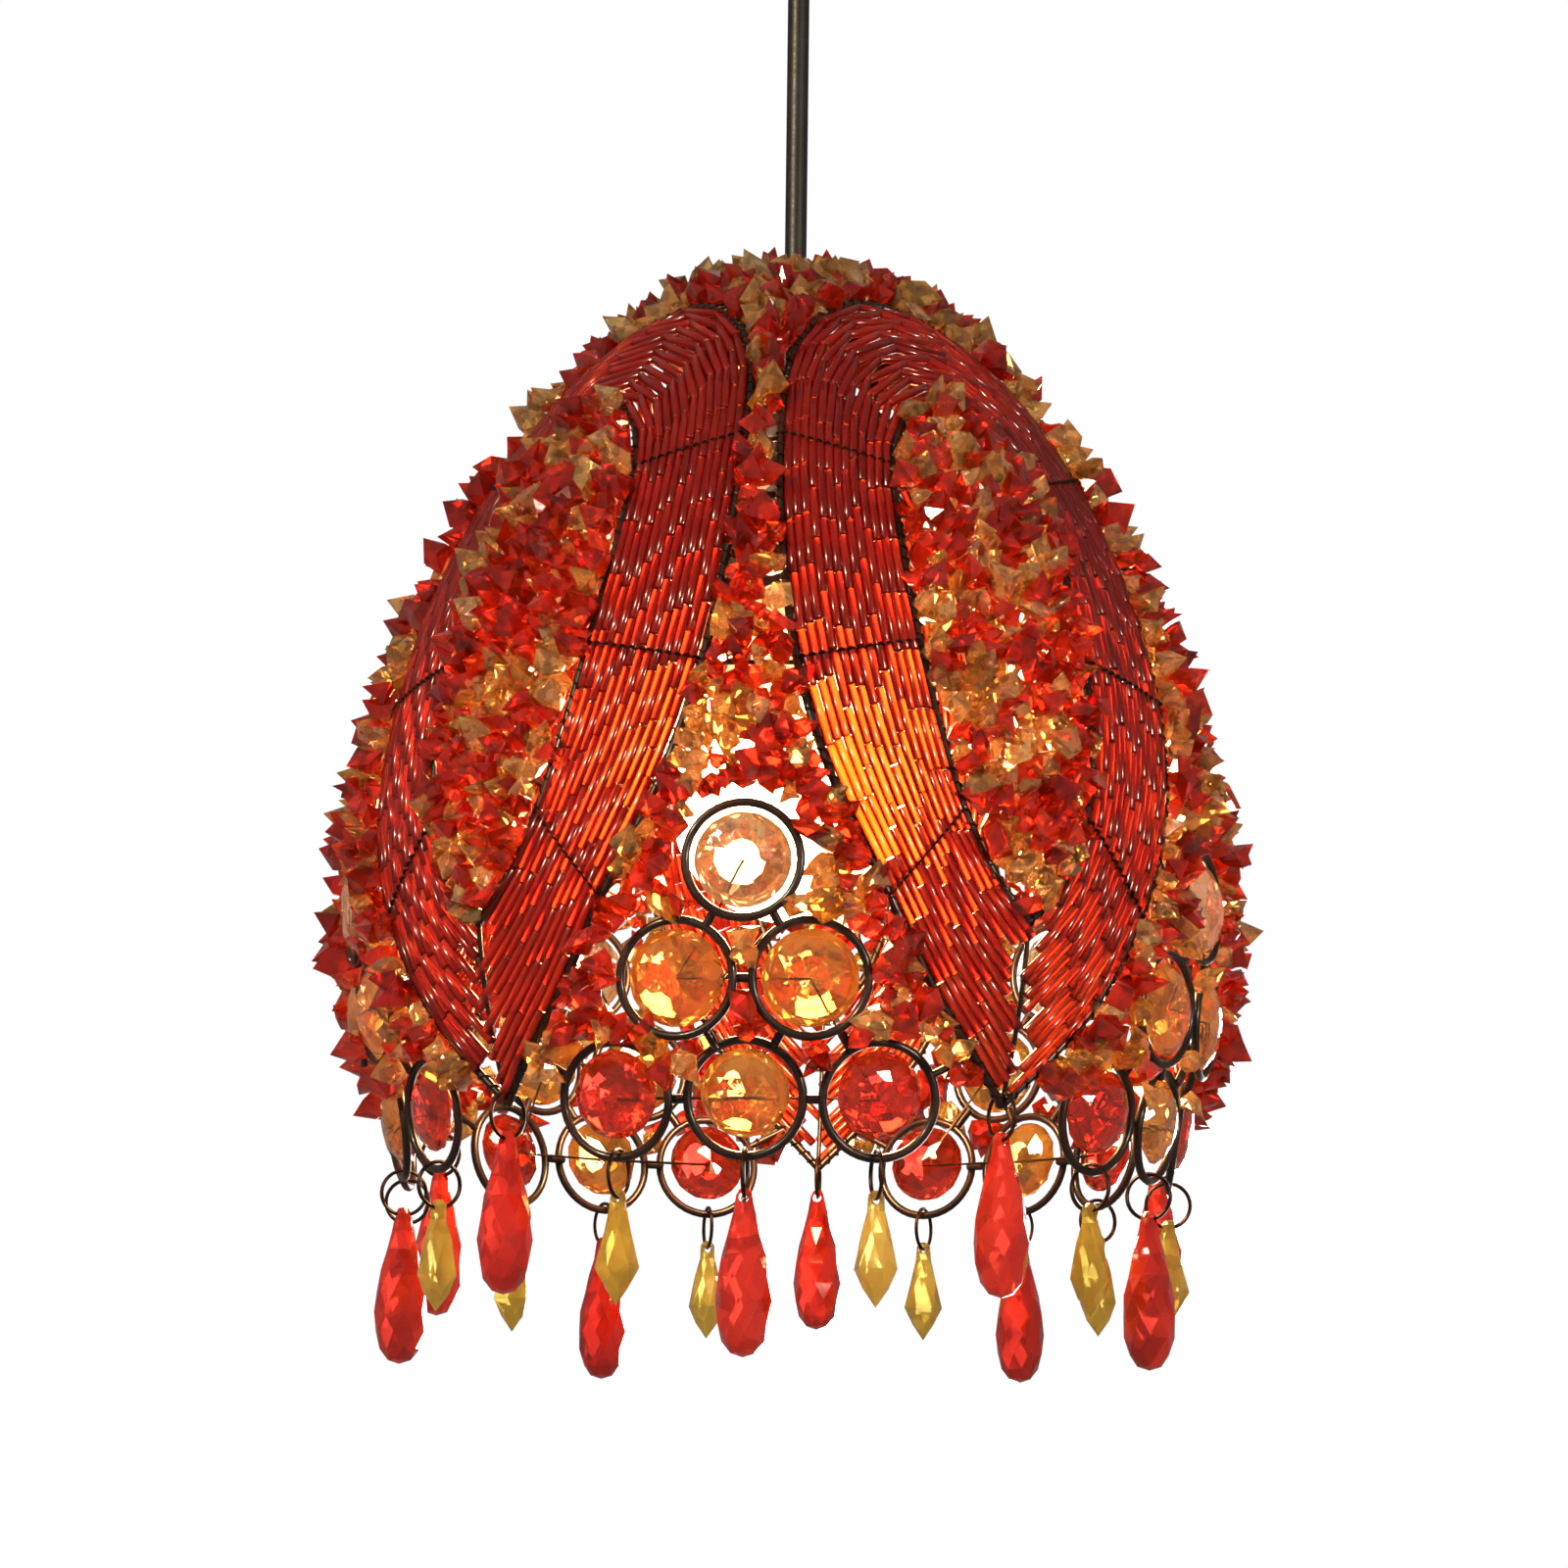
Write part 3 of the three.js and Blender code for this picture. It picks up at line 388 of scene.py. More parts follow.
class Finishes:
    """The lamp's materials, each made once."""

    def __init__(self, bulb_foot: float) -> None:
        """Make every material.

        Args:
            bulb_foot: The height of the bulb's lowest point.
        """
        # Lacquered iron wire: near black, warmed by rust where the lacquer has worn.
        self.iron = SolidFinish(
            "lacquered iron wire", "#120b08", "#3a2016", metallic=0.35, roughness=(0.28, 0.5),
            coat=0.35,
        ).make()
        # Thin annealed binding wire, darkened by heat.
        self.binding = SolidFinish(
            "annealed binding wire", "#1a100c", "#4a2c1c", metallic=0.7, roughness=(0.3, 0.45),
            grain=0.6 * MM,
        ).make()
        # Drawn glass tube beads: their sides are fire polished, so they carry long thin highlights.
        self.bugle = ClearFinish(
            "red drawn glass beads",
            ((0.0, "#7c0a08"), (0.45, "#a0140e"), (0.8, "#b42010"), (1.0, "#cc441c")),
            lit="#ffa050", roughness=0.13, transmission=0.55, translucency=0.0, ior=1.52, swirl=3 * MM,
            painted_reflection_size=5 * MM, depth=0.12, haze=0.24, coat=0.5,
        ).make()
        # Cast acrylic chips in two colours, broken to points and tumbled.
        self.chips = ClearFinish(
            "cast acrylic chips",
            ((0.0, "#a00c0c"), (0.36, "#dc2a1a"), (0.46, "#dc5424"), (0.6, "#cca444"), (1.0, "#f4e0a0")),
            lit="#ffa050", roughness=0.05, transmission=0.8, translucency=0.14, swirl=2.5 * MM,
            painted_reflection_size=2 * MM, depth=0.6, coat=1.0,
        ).make()
        # Pressed acrylic stones with polished facets.
        self.stones = ClearFinish(
            "pressed acrylic stones",
            ((0.0, "#b00c10"), (0.3, "#e03828"), (0.5, "#e88a38"), (0.75, "#f0c068"), (1.0, "#fff4e0")),
            lit="#ffb060", roughness=0.02, transmission=0.92, translucency=0.06, ior=1.56, swirl=6 * MM,
            painted_reflection_size=4.5 * MM, depth=0.65, coat=1.0,
        ).make()
        # Drops of the same acrylic, less clear, so that they hold their coral red against the light.
        self.red_drop = ClearFinish(
            "coral red acrylic drops", ((0.0, "#a81c14"), (1.0, "#cc4030")),
            lit="#ff6048", roughness=0.04, transmission=0.45, translucency=0.22, swirl=7 * MM,
            painted_reflection_size=5 * MM, depth=0.45, coat=1.0,
        ).make()
        # Clearer drops of a dull yellow, which brighten where light comes through them.
        self.gold_drop = ClearFinish(
            "olive gold acrylic drops", ((0.0, "#a8983c"), (1.0, "#d8c878")),
            lit="#e8d074", roughness=0.03, transmission=0.7, translucency=0.35, swirl=5 * MM,
            painted_reflection_size=4 * MM, depth=0.5, coat=1.0,
        ).make()
        # Phenolic moulding: hard, black, with a satin skin.
        self.phenolic = SolidFinish(
            "moulded phenolic", "#0d0c0b", "#1d1a18", roughness=(0.3, 0.42), grain=0.8 * MM, coat=0.2,
            ior=1.6,
        ).make()
        # Extruded flex: soft, with a faint drawn texture.
        self.flex = SolidFinish(
            "extruded PVC flex", "#0b0b0b", "#1b1a19", roughness=(0.38, 0.52), grain=0.9 * MM, ior=1.53
        ).make()
        # Satin paint sprayed on pressed steel: a fine orange peel.
        self.paint = SolidFinish(
            "sprayed black paint", "#0e0d0d", "#1f1d1b", roughness=(0.32, 0.46), grain=1.4 * MM,
            grain_height=0.02 * MM, coat=0.4,
        ).make()
        # Zinc plating: bright grey with cloudy patches.
        self.zinc = SolidFinish(
            "zinc plated steel", "#8f9296", "#c3c6c9", metallic=1.0, roughness=(0.25, 0.42),
            grain=0.9 * MM,
        ).make()
        # Nickel on brass: bright, with a yellow warmth.
        self.cap = SolidFinish(
            "nickel plated brass", "#a79c86", "#d3cab6", metallic=1.0, roughness=(0.2, 0.35),
            grain=0.8 * MM,
        ).make()
        # The bulb's globe glows, and its neck is nearly dark.
        self.bulb = LitBulbFinish(bulb_foot + GLOW_FULL_BELOW, bulb_foot + GLOW_GONE_ABOVE).make()


# ---- Modelling ----


def deselect() -> None:
    """Go back to object mode with nothing selected."""
    if bpy.context.object is not None and bpy.context.object.mode != "OBJECT":
        bpy.ops.object.mode_set(mode="OBJECT")
    bpy.ops.object.select_all(action="DESELECT")


def only(piece: bpy.types.Object) -> None:
    """Select one piece and make it active.

    Args:
        piece: The piece.
    """
    deselect()
    piece.select_set(True)
    bpy.context.view_layer.objects.active = piece


def select_where(piece: bpy.types.Object, test: Callable[[Vector], bool]) -> None:
    """In edit mode, select the vertices whose places pass a test, and nothing else.

    Args:
        piece: The mesh that is being edited.
        test: Takes a vertex's place and says whether it is wanted.
    """
    bpy.ops.mesh.select_all(action="DESELECT")
    mesh = bmesh.from_edit_mesh(piece.data)
    for vertex in mesh.verts:
        vertex.select_set(test(vertex.co))
    mesh.select_flush(True)
    bmesh.update_edit_mesh(piece.data)


# Edges that turn by more degrees than this are sharp ones.
SHARP = 35.0
WIRE_SHARP = 60.0


def apply_bevel(piece: bpy.types.Object, width: float) -> None:
    """Round a piece's sharp edges with an applied bevel of two steps.

    Args:
        piece: The piece.
        width: The bevel's width.
    """
    only(piece)
    bevel = piece.modifiers.new("Edge", "BEVEL")
    bevel.width = width
    bevel.segments = 2
    bevel.limit_method = "ANGLE"
    bevel.angle_limit = math.radians(SHARP)
    bpy.ops.object.modifier_apply(modifier=bevel.name)


def remove(pieces: Iterable[bpy.types.Object]) -> None:
    """Remove models and tools that are no longer needed."""
    for piece in pieces:
        bpy.data.objects.remove(piece)


def cut_away(piece: bpy.types.Object, tool: bpy.types.Object) -> None:
    """Cut a tool's shape out of a piece, and remove the tool.

    Args:
        piece: The piece.
        tool: The shape to cut away.
    """
    only(piece)
    cut = piece.modifiers.new("Cut", "BOOLEAN")
    cut.object = tool
    cut.operation = "DIFFERENCE"
    bpy.ops.object.modifier_apply(modifier=cut.name)
    remove([tool])


def smooth(piece: bpy.types.Object, angle: float = SHARP) -> bpy.types.Object:
    """Shade a piece smooth, apart from edges sharper than an angle.

    Args:
        piece: The piece.
        angle: The angle in degrees.

    Returns:
        The piece.
    """
    only(piece)
    bpy.ops.object.shade_smooth_by_angle(angle=math.radians(angle))
    return piece


# An end that comes to a point starts as a ring this small, whose vertices are then merged.
POLE = 0.01 * MM
MERGE = 0.05 * MM


def built_up(
    name: str, profile: Sequence[tuple[float, float]], sides: int, twisted: bool = False
) -> bpy.types.Object:
    """Model a solid round Z by extruding one ring of vertices from place to place.

    Args:
        name: The piece's name.
        profile: Radius and height of each ring. A radius of zero closes a pole, and a profile that
            ends where it starts closes on itself.
        sides: Vertices in each ring.
        twisted: Turn every second ring by half a side, and cut the faces into flat facets.

    Returns:
        The piece, at the origin.
    """
    deselect()
    radius, height = max(profile[0][0], POLE), profile[0][1]
    bpy.ops.mesh.primitive_circle_add(vertices=sides, radius=radius, location=(0, 0, height))
    piece = bpy.context.object
    piece.name = name
    bpy.ops.object.transform_apply(location=True)
    bpy.ops.object.mode_set(mode="EDIT")
    bpy.ops.mesh.select_all(action="SELECT")
    for step, (next_radius, next_height) in enumerate(profile[1:], start=1):
        next_radius = max(next_radius, POLE)
        rise = {"value": (0, 0, next_height - height)}
        bpy.ops.mesh.extrude_region_move(TRANSFORM_OT_translate=rise)
        centre = (0, 0, next_height)
        share = next_radius / radius
        bpy.ops.transform.resize(value=(share, share, 1), center_override=centre)
        if twisted:
            turn = math.pi / sides if step % 2 else -math.pi / sides
            bpy.ops.transform.rotate(value=turn, orient_axis="Z", center_override=centre)
        radius, height = next_radius, next_height
    bpy.ops.mesh.select_all(action="SELECT")
    bpy.ops.mesh.remove_doubles(threshold=MERGE)
    if twisted:
        bpy.ops.mesh.quads_convert_to_tris(quad_method="SHORTEST_DIAGONAL")
    bpy.ops.mesh.normals_make_consistent(inside=False)
    bpy.ops.object.mode_set(mode="OBJECT")
    return piece


class Strand(NamedTuple):
    """A wire's route: its points, its radius and whether its ends meet."""

    points: Sequence[Vector]
    radius: float
    closed: bool = False


def drawn_curve(
    name: str, strands: Iterable[Strand], thickness: float, resolution: int
) -> bpy.types.Object:
    """Draw routes as one curve with a round section.

    Args:
        name: The piece's name.
        strands: The routes.
        thickness: The curve's own radius, which each strand's radius is a multiple of.
        resolution: The bevel resolution of the section.

    Returns:
        The curve.
    """
    deselect()
    bpy.ops.curve.primitive_nurbs_path_add(location=(0, 0, 0))
    piece = bpy.context.object
    piece.name = name
    curve = piece.data
    curve.splines.clear()
    curve.dimensions = "3D"
    curve.bevel_depth = thickness
    curve.bevel_resolution = resolution
    curve.use_fill_caps = True
    for strand in strands:
        spline = curve.splines.new("POLY")
        spline.points.add(len(strand.points) - 1)
        for place, point in zip(spline.points, strand.points):
            place.co = (*point, 1.0)
            place.radius = strand.radius / thickness
        spline.use_cyclic_u = strand.closed
    return piece


def drawn_wires(name: str, strands: Iterable[Strand], resolution: int = 2) -> bpy.types.Object:
    """Draw wires along their routes, and make them one mesh.

    Args:
        name: The piece's name.
        strands: The routes.
        resolution: The bevel resolution of their round section.

    Returns:
        The piece, shaded smooth.
    """
    only(drawn_curve(name, strands, MM, resolution))
    bpy.ops.object.convert(target="MESH")
    return smooth(bpy.context.object, WIRE_SHARP)


def in_metres(
    outline: Sequence[tuple[float, float]], foot: float = 0.0
) -> list[tuple[float, float]]:
    """Turn radii and heights in millimetres into metres, with the heights above a foot."""
    return [(radius * MM, foot + height * MM) for radius, height in outline]


def copied(
    name: str, models: Sequence[bpy.types.Object], places: Sequence[tuple[int, Matrix, float]]
) -> bpy.types.Object:
    """Copy models to many places, as one mesh that records each copy's tint.

    Args:
        name: The new piece's name.
        models: The modelled shapes.
        places: For each copy, its model's number, its matrix and its tint.

    Returns:
        The new piece.
    """
    points, corners, starts, smooths, tints = [], [], [], [], []
    shapes = []
    for model in models:
        mesh = model.data
        here = np.zeros(len(mesh.vertices) * 3)
        mesh.vertices.foreach_get("co", here)
        loops = np.zeros(len(mesh.loops), dtype=np.int64)
        mesh.loops.foreach_get("vertex_index", loops)
        begin = np.zeros(len(mesh.polygons), dtype=np.int64)
        mesh.polygons.foreach_get("loop_start", begin)
        flags = np.zeros(len(mesh.polygons), dtype=bool)
        mesh.polygons.foreach_get("use_smooth", flags)
        shapes.append((here.reshape(-1, 3), loops, begin, flags))
    point_count, corner_count = 0, 0
    for number, matrix, tint in places:
        here, loops, begin, flags = shapes[number]
        turn = np.array(matrix)
        points.append(here @ turn[:3, :3].T + turn[:3, 3])
        corners.append(loops + point_count)
        starts.append(begin + corner_count)
        smooths.append(flags)
        tints.append(np.full(len(here), tint))
        point_count += len(here)
        corner_count += len(loops)
    mesh = bpy.data.meshes.new(name)
    mesh.vertices.add(point_count)
    mesh.vertices.foreach_set("co", np.concatenate(points).ravel())
    mesh.loops.add(corner_count)
    mesh.loops.foreach_set("vertex_index", np.concatenate(corners))
    begins = np.concatenate(starts)
    mesh.polygons.add(len(begins))
    mesh.polygons.foreach_set("loop_start", begins)
    mesh.polygons.foreach_set("use_smooth", np.concatenate(smooths))
    mesh.attributes.new("tint", "FLOAT", "POINT").data.foreach_set("value", np.concatenate(tints))
    mesh.update(calc_edges=True)
    mesh.validate()
    piece = bpy.data.objects.new(name, mesh)
    bpy.context.scene.collection.objects.link(piece)
    return piece


def dress(
    piece: bpy.types.Object, material: bpy.types.Material, replaces: Sequence[str] = (),
    body: str = LAMP_BODY,
) -> bpy.types.Object:
    """Give a finished piece its material, its body and the CAD nodes that it stands for.

    Args:
        piece: The piece, in place.
        material: Its material.
        replaces: The CAD nodes that it stands for.
        body: The body that it rides on.

    Returns:
        The piece.
    """
    piece.data.materials.clear()
    piece.data.materials.append(material)
    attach(piece, body)
    if replaces:
        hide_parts(*replaces)
    size = len(piece.data.polygons) if piece.type == "MESH" else len(piece.data.splines)
    LOG.info("%s: %d faces or lines", piece.name, size)
    return piece


# ---- The dome ----


class Spot(NamedTuple):
    """A place on the dome: degrees round the axis and height above the rim's bottom."""

    angle: float
    height: float


@dataclass
class Dome:
    """The surface that the frame's wires lie on.

    The bulge and the rounding shape it from belly to crown, and the curl draws it in at the rim.
    """

    rim: float
    sectors: int = 5
    belly_radius: float = 109.5 * MM
    belly_height: float = 66 * MM
    rim_radius: float = 91 * MM
    top: float = 236 * MM
    bulge: float = 1.7
    rounding: float = 0.54
    curl: float = 1.85

    @property
    def sector(self) -> float:
        """Degrees from one petal to the next."""
        return 360 / self.sectors

    def radius(self, height: float) -> float:
        """Find how wide the dome is.

        Args:
            height: The height above the rim's bottom.

        Returns:
            The dome's radius there.
        """
        if height > self.belly_height:
            share = min((height - self.belly_height) / (self.top - self.belly_height), 1.0)
            return self.belly_radius * (1 - share**self.bulge) ** self.rounding
        share = (self.belly_height - height) / self.belly_height
        return self.belly_radius - (self.belly_radius - self.rim_radius) * share**self.curl

    def slope(self, height: float) -> float:
        """Change of radius with height."""
        reach = 0.05 * MM
        return (self.radius(height + reach) - self.radius(height - reach)) / (2 * reach)

    def point(self, spot: Spot, lift: float = 0.0) -> Vector:
        """Find a place on the dome.

        Args:
            spot: The spot.
            lift: Distance out along the dome's normal.

        Returns:
            The place in the lamp's frame.
        """
        slope = self.slope(spot.height)
        length = math.hypot(1, slope)
        radius = self.radius(spot.height) + lift / length
        turn = math.radians(spot.angle)
        height = self.rim + spot.height - lift * slope / length
        return Vector((radius * math.sin(turn), -radius * math.cos(turn), height))

    def normal(self, spot: Spot) -> Vector:
        """The direction out of the dome at a spot."""
        return (self.point(spot, MM) - self.point(spot)).normalized()

    def meridian(self, start: float, end: float, step: float) -> list[float]:
        """Walk up the dome in even steps.

        Args:
            start: The first height.
            end: The height where the walk stops.
            step: The distance along the surface between two heights.

        Returns:
            The heights.
        """
        heights = [start]
        while heights[-1] < end:
            stretch = math.hypot(1, self.slope(heights[-1]))
            heights.append(heights[-1] + step / stretch)
        return heights[:-1]


def smooth_line(values: Sequence[tuple[float, float]], steps: int) -> list[tuple[float, float]]:
    """Run a smooth line through a list of pairs.

    Args:
        values: The pairs.
        steps: Steps between one pair and the next.

    Returns:
        The pairs and the ones between them.
    """
    line = []
    last = len(values) - 1
    for index in range(last):
        near = [values[min(max(index + shift, 0), last)] for shift in (-1, 0, 1, 2)]
        a, b, c, d = (np.array(pair, dtype=float) for pair in near)
        bend = 2 * a - 5 * b + 4 * c - d
        twist = 3 * b - a - 3 * c + d
        for step in range(steps):
            t = step / steps
            here = 2 * b + (c - a) * t + bend * t**2 + twist * t**3
            line.append(tuple(0.5 * here))
    line.append(tuple(values[-1]))
    return line


@dataclass
class PetalOutline:
    """One of a petal's two loops, as shares of its height and of its half angle."""

    tip: float
    top: float
    half_angle: float
    shares: tuple[tuple[float, float], ...]
    steps: int = 6
    spots: list[Spot] = field(default_factory=list)

    def __post_init__(self) -> None:
        """Work out the right half's spots, from tip to top."""
        mirror = [(up, -out) for up, out in reversed(self.shares[:-1])]
        both = smooth_line([*self.shares, *mirror], self.steps)
        half = both[: self.steps * (len(self.shares) - 1) + 1]
        height = self.top - self.tip
        self.spots = [Spot(out * self.half_angle, self.tip + up * height) for up, out in half]

    def loop(self, middle: float) -> list[Spot]:
        """Run round the whole loop.

        Args:
            middle: The petal's middle angle.

        Returns:
            Its spots, from the tip up the right side and back down the left.
        """
        right = [Spot(middle + spot.angle, spot.height) for spot in self.spots]
        left = [Spot(middle - spot.angle, spot.height) for spot in reversed(self.spots[:-1])]
        return [*right, *left]

    def reach(self, height: float) -> float:
        """Find how far the loop reaches to each side.

        Args:
            height: The height above the rim's bottom.

        Returns:
            Its half angle there, or less than zero above and below the loop.
        """
        heights = [spot.height for spot in self.spots]
        if not self.tip < height < self.top:
            return -1.0
        return float(np.interp(height, heights, [spot.angle for spot in self.spots]))


# The loops' outlines: shares of the height from tip to top, and of the half angle.
OUTER_SHARES = (
    (0, 0), (0.105, 0.335), (0.22, 0.564), (0.35, 0.777), (0.487, 0.909),
    (0.632, 0.976), (0.777, 1), (0.898, 0.945), (0.971, 0.64), (1, 0),
)
INNER_SHARES = (
    (0, 0), (0.076, 0.35), (0.19, 0.625), (0.333, 0.806), (0.492, 0.924),
    (0.674, 1), (0.841, 0.958), (0.94, 0.73), (0.985, 0.38), (1, 0),
)


@dataclass
class RimRing:
    """One stone ring of a gap: its row, its place in the row and where its centre is."""

    row: int
    angle: float
    height: float
    lean: float


@dataclass
class RingRows:
    """The triangle of rings between two petals, in rows of three, two and one."""

    dome: Dome
    rows: int = 3
    tip_height: float = 14.4 * MM
    wire: float = 1.05 * MM
    weld_gap: float = 2 * MM
    lean_share: float = 0.4
    radius: float = 0.0
    pitch: float = 0.0
    rings: list[RimRing] = field(default_factory=list)

    def __post_init__(self) -> None:
        """Work out the ring size and each ring's place from the rim's circle."""
        hang = self.dome.sector / (self.rows + 1)

        def pitch_at(height: float) -> float:
            """Distance between neighbouring rings whose centres lie at a height."""
            return 2 * self.dome.radius(height) * math.sin(math.radians(hang / 2))

        self.pitch = pitch_at(pitch_at(self.tip_height) / 2 - self.weld_gap / 2)
        self.radius = (self.pitch - self.weld_gap) / 2 - self.wire
        for row in range(self.rows):
            height = self.radius + self.wire + row * self.pitch * math.cos(math.radians(30))
            step = 2 * math.degrees(math.asin(self.pitch / 2 / self.dome.radius(height)))
            count = self.rows - row
            lean = self.lean_share * math.atan(self.dome.slope(height))
            for place in range(count):
                self.rings.append(RimRing(row, (place - (count - 1) / 2) * step, height, lean))

    def matrix(self, ring: RimRing, middle: float) -> Matrix:
        """Find a ring's place.

        Args:
            ring: The ring.
            middle: The gap's middle angle.

        Returns:
            Its matrix, with its own Z facing out of the dome and its own Y up.
        """
        turn = Matrix.Rotation(math.radians(ring.angle + middle), 4, "Z")
        shift = Matrix.Translation((0, -self.dome.radius(ring.height), self.dome.rim + ring.height))
        return turn @ shift @ Matrix.Rotation(math.pi / 2 + ring.lean, 4, "X")


def from_zero(angle: float, turn: float) -> float:
    """Bring an angle within half a turn of zero, in the turn's own unit."""
    angle %= turn
    return angle - turn if angle > turn / 2 else angle


def circle(matrix: Matrix, radius: float, count: int = 40) -> list[Vector]:
    """Points of a circle in a matrix's own XY plane."""
    turns = [2 * math.pi * index / count for index in range(count)]
    return [matrix @ Vector((radius * math.cos(turn), radius * math.sin(turn), 0)) for turn in turns]


# ---- The wire frame ----


@dataclass
class WireFrame:
    """The welded frame: petal loops, tie wires, stone rings and the gallery in the crown."""

    dome: Dome
    outer: PetalOutline
    inner: PetalOutline
    rows: RingRows
    wire: float = 1.05 * MM
    thin_wire: float = 0.6 * MM
    binding: float = 0.28 * MM
    tie_depth: float = -1.2 * MM
    tied: tuple[int, ...] = (2, 4, 6)
    crown_height: float = 230 * MM
    crown_depth: float = 2.8 * MM
    carrier_height: float = 170 * MM
    carrier_radius: float = 21.4 * MM
    arm_foot: float = 22.55 * MM
    stem_depth: float = -0.2 * MM
    stem_points: int = 8
    gallery_points: int = 48
    uneven: float = 0.25 * MM
    bends_per_metre: float = 18.0
    neighbour_reach: float = 1.2
    weld_radius: float = 1.1 * MM
    weld_bite: float = 0.2 * MM
    foot_weld_radius: float = 0.9 * MM
    coil_pitch: float = 3.4 * MM
    coil_points: int = 7
    coil_lift: float = 0.15 * MM

    def wobble(self, point: Vector) -> Vector:
        """Move a point a little, as a hand bent wire strays."""
        return point + self.uneven * noise.noise_vector(point * self.bends_per_metre)

    def petal_strands(self, middle: float) -> list[Strand]:
        """Route one petal's loops, stem, ties and crown link.

        Args:
            middle: The petal's middle angle.

        Returns:
            The strands.
        """
        strands = []
        for loop in (self.outer, self.inner):
            points = [self.wobble(self.dome.point(spot)) for spot in loop.loop(middle)]
            strands.append(Strand(points, self.wire))
        for side in (-1, 1):
            for index in self.tied:
                spots = [loop.spots[index * loop.steps] for loop in (self.inner, self.outer)]
                ends = [Spot(middle + side * spot.angle, spot.height) for spot in spots]
                points = [self.dome.point(spot, self.tie_depth) for spot in ends]
                strands.append(Strand(points, self.thin_wire))
        heights = np.linspace(self.outer.tip, self.inner.tip, self.stem_points)
        stem = [self.dome.point(Spot(middle, height), self.stem_depth) for height in heights]
        strands.append(Strand(stem, self.thin_wire))
        link = [
            self.dome.point(Spot(middle, self.outer.top), self.tie_depth),
            self.dome.point(Spot(middle, self.crown_height), -self.crown_depth),
        ]
        strands.append(Strand(link, self.thin_wire))
        return strands

    def gap_strands(self, middle: float) -> list[Strand]:
        """Route one gap's rings, their welds and the bars behind the chips.

        Args:
            middle: The gap's middle angle.

        Returns:
            The strands.
        """
        places = [self.rows.matrix(ring, middle) for ring in self.rows.rings]
        strands = [Strand(circle(place, self.rows.radius), self.wire, True) for place in places]
        centres = [place.translation for place in places]
        for first, start in enumerate(centres):
            for end in centres[first + 1 :]:
                if (end - start).length < self.neighbour_reach * self.rows.pitch:
                    reach = (self.rows.radius - self.weld_bite) / (end - start).length
                    ends = [start.lerp(end, reach), end.lerp(start, reach)]
                    strands.append(Strand(ends, self.weld_radius))
        for index in self.tied[1:]:
            spot = self.outer.spots[index * self.outer.steps]
            reach = self.dome.sector / 2 - spot.angle
            spots = [Spot(middle + share * reach, spot.height) for share in (-1, 0, 1)]
            points = [self.dome.point(spot, self.tie_depth) for spot in spots]
            strands.append(Strand(points, self.thin_wire))
        for side in (-1, 1):
            place = places[0 if side < 0 else self.rows.rows - 1]
            ends = []
            for spot in (self.outer.spots[0], self.outer.spots[self.outer.steps]):
                angle = middle + side * (self.dome.sector / 2 - spot.angle)
                ends.append(self.dome.point(Spot(angle, spot.height)))
            target = ends[0].lerp(ends[1], 0.5)
            local = place.inverted() @ target
            start = place @ (Vector((local.x, local.y, 0)).normalized() * self.rows.radius)
            strands.append(Strand([start, target], self.foot_weld_radius))
        return strands

    def gallery_strands(self) -> list[Strand]:
        """Route the crown ring, the carrier ring and the arms between them.

        Returns:
            The strands.
        """
        crown = self.dome.point(Spot(0, self.crown_height), -self.crown_depth)
        level = self.dome.rim + self.carrier_height
        strands = []
        for height, radius in ((crown.z, -crown.y), (level, self.carrier_radius)):
            points = circle(Matrix.Translation((0, 0, height)), radius, self.gallery_points)
            strands.append(Strand(points, self.wire, True))
        for index in range(self.dome.sectors):
            turn = Matrix.Rotation(math.radians(index * self.dome.sector), 4, "Z")
            foot = Vector((0, -self.arm_foot, level))
            strands.append(Strand([turn @ foot, turn @ crown], self.wire))
        return strands

    def bindings(self, middle: float) -> list[Strand]:
        """Wind thin wire round a petal's loops, where the bead strands are tied to them.

        Args:
            middle: The petal's middle angle.

        Returns:
            The coils' strands.
        """
        strands = []
        for loop in (self.outer, self.inner):
            points = [self.wobble(self.dome.point(spot)) for spot in loop.loop(middle)]
            out = [self.dome.normal(spot) for spot in loop.loop(middle)]
            coil = []
            walked = 0.0
            for start, end, up in zip(points, points[1:], out):
                length = (end - start).length
                along = (end - start).normalized()
                side = along.cross(up).normalized()
                lift = side.cross(along)
                count = max(2, round(length / self.coil_pitch * self.coil_points))
                for step in range(count):
                    turn = 2 * math.pi * (walked + length * step / count) / self.coil_pitch
                    away = math.cos(turn) * side + math.sin(turn) * lift
                    coil.append(start.lerp(end, step / count) + (self.wire + self.coil_lift) * away)
                walked += length
            strands.append(Strand(coil, self.binding))
        return strands

    def build(self, finishes: Finishes) -> None:
        """Draw the frame's wires and the binding wire on them.

        Args:
            finishes: The lamp's materials.
        """
        strands = self.gallery_strands()
        bindings = []
        for index in range(self.dome.sectors):
            strands += self.gap_strands(index * self.dome.sector)
            strands += self.petal_strands((index + 0.5) * self.dome.sector)
            bindings += self.bindings((index + 0.5) * self.dome.sector)
        dress(drawn_wires("welded_frame", strands), finishes.iron, ["wire_frame"])
        dress(drawn_wires("binding_wire", bindings, 0), finishes.binding)


# ---- Beads ----


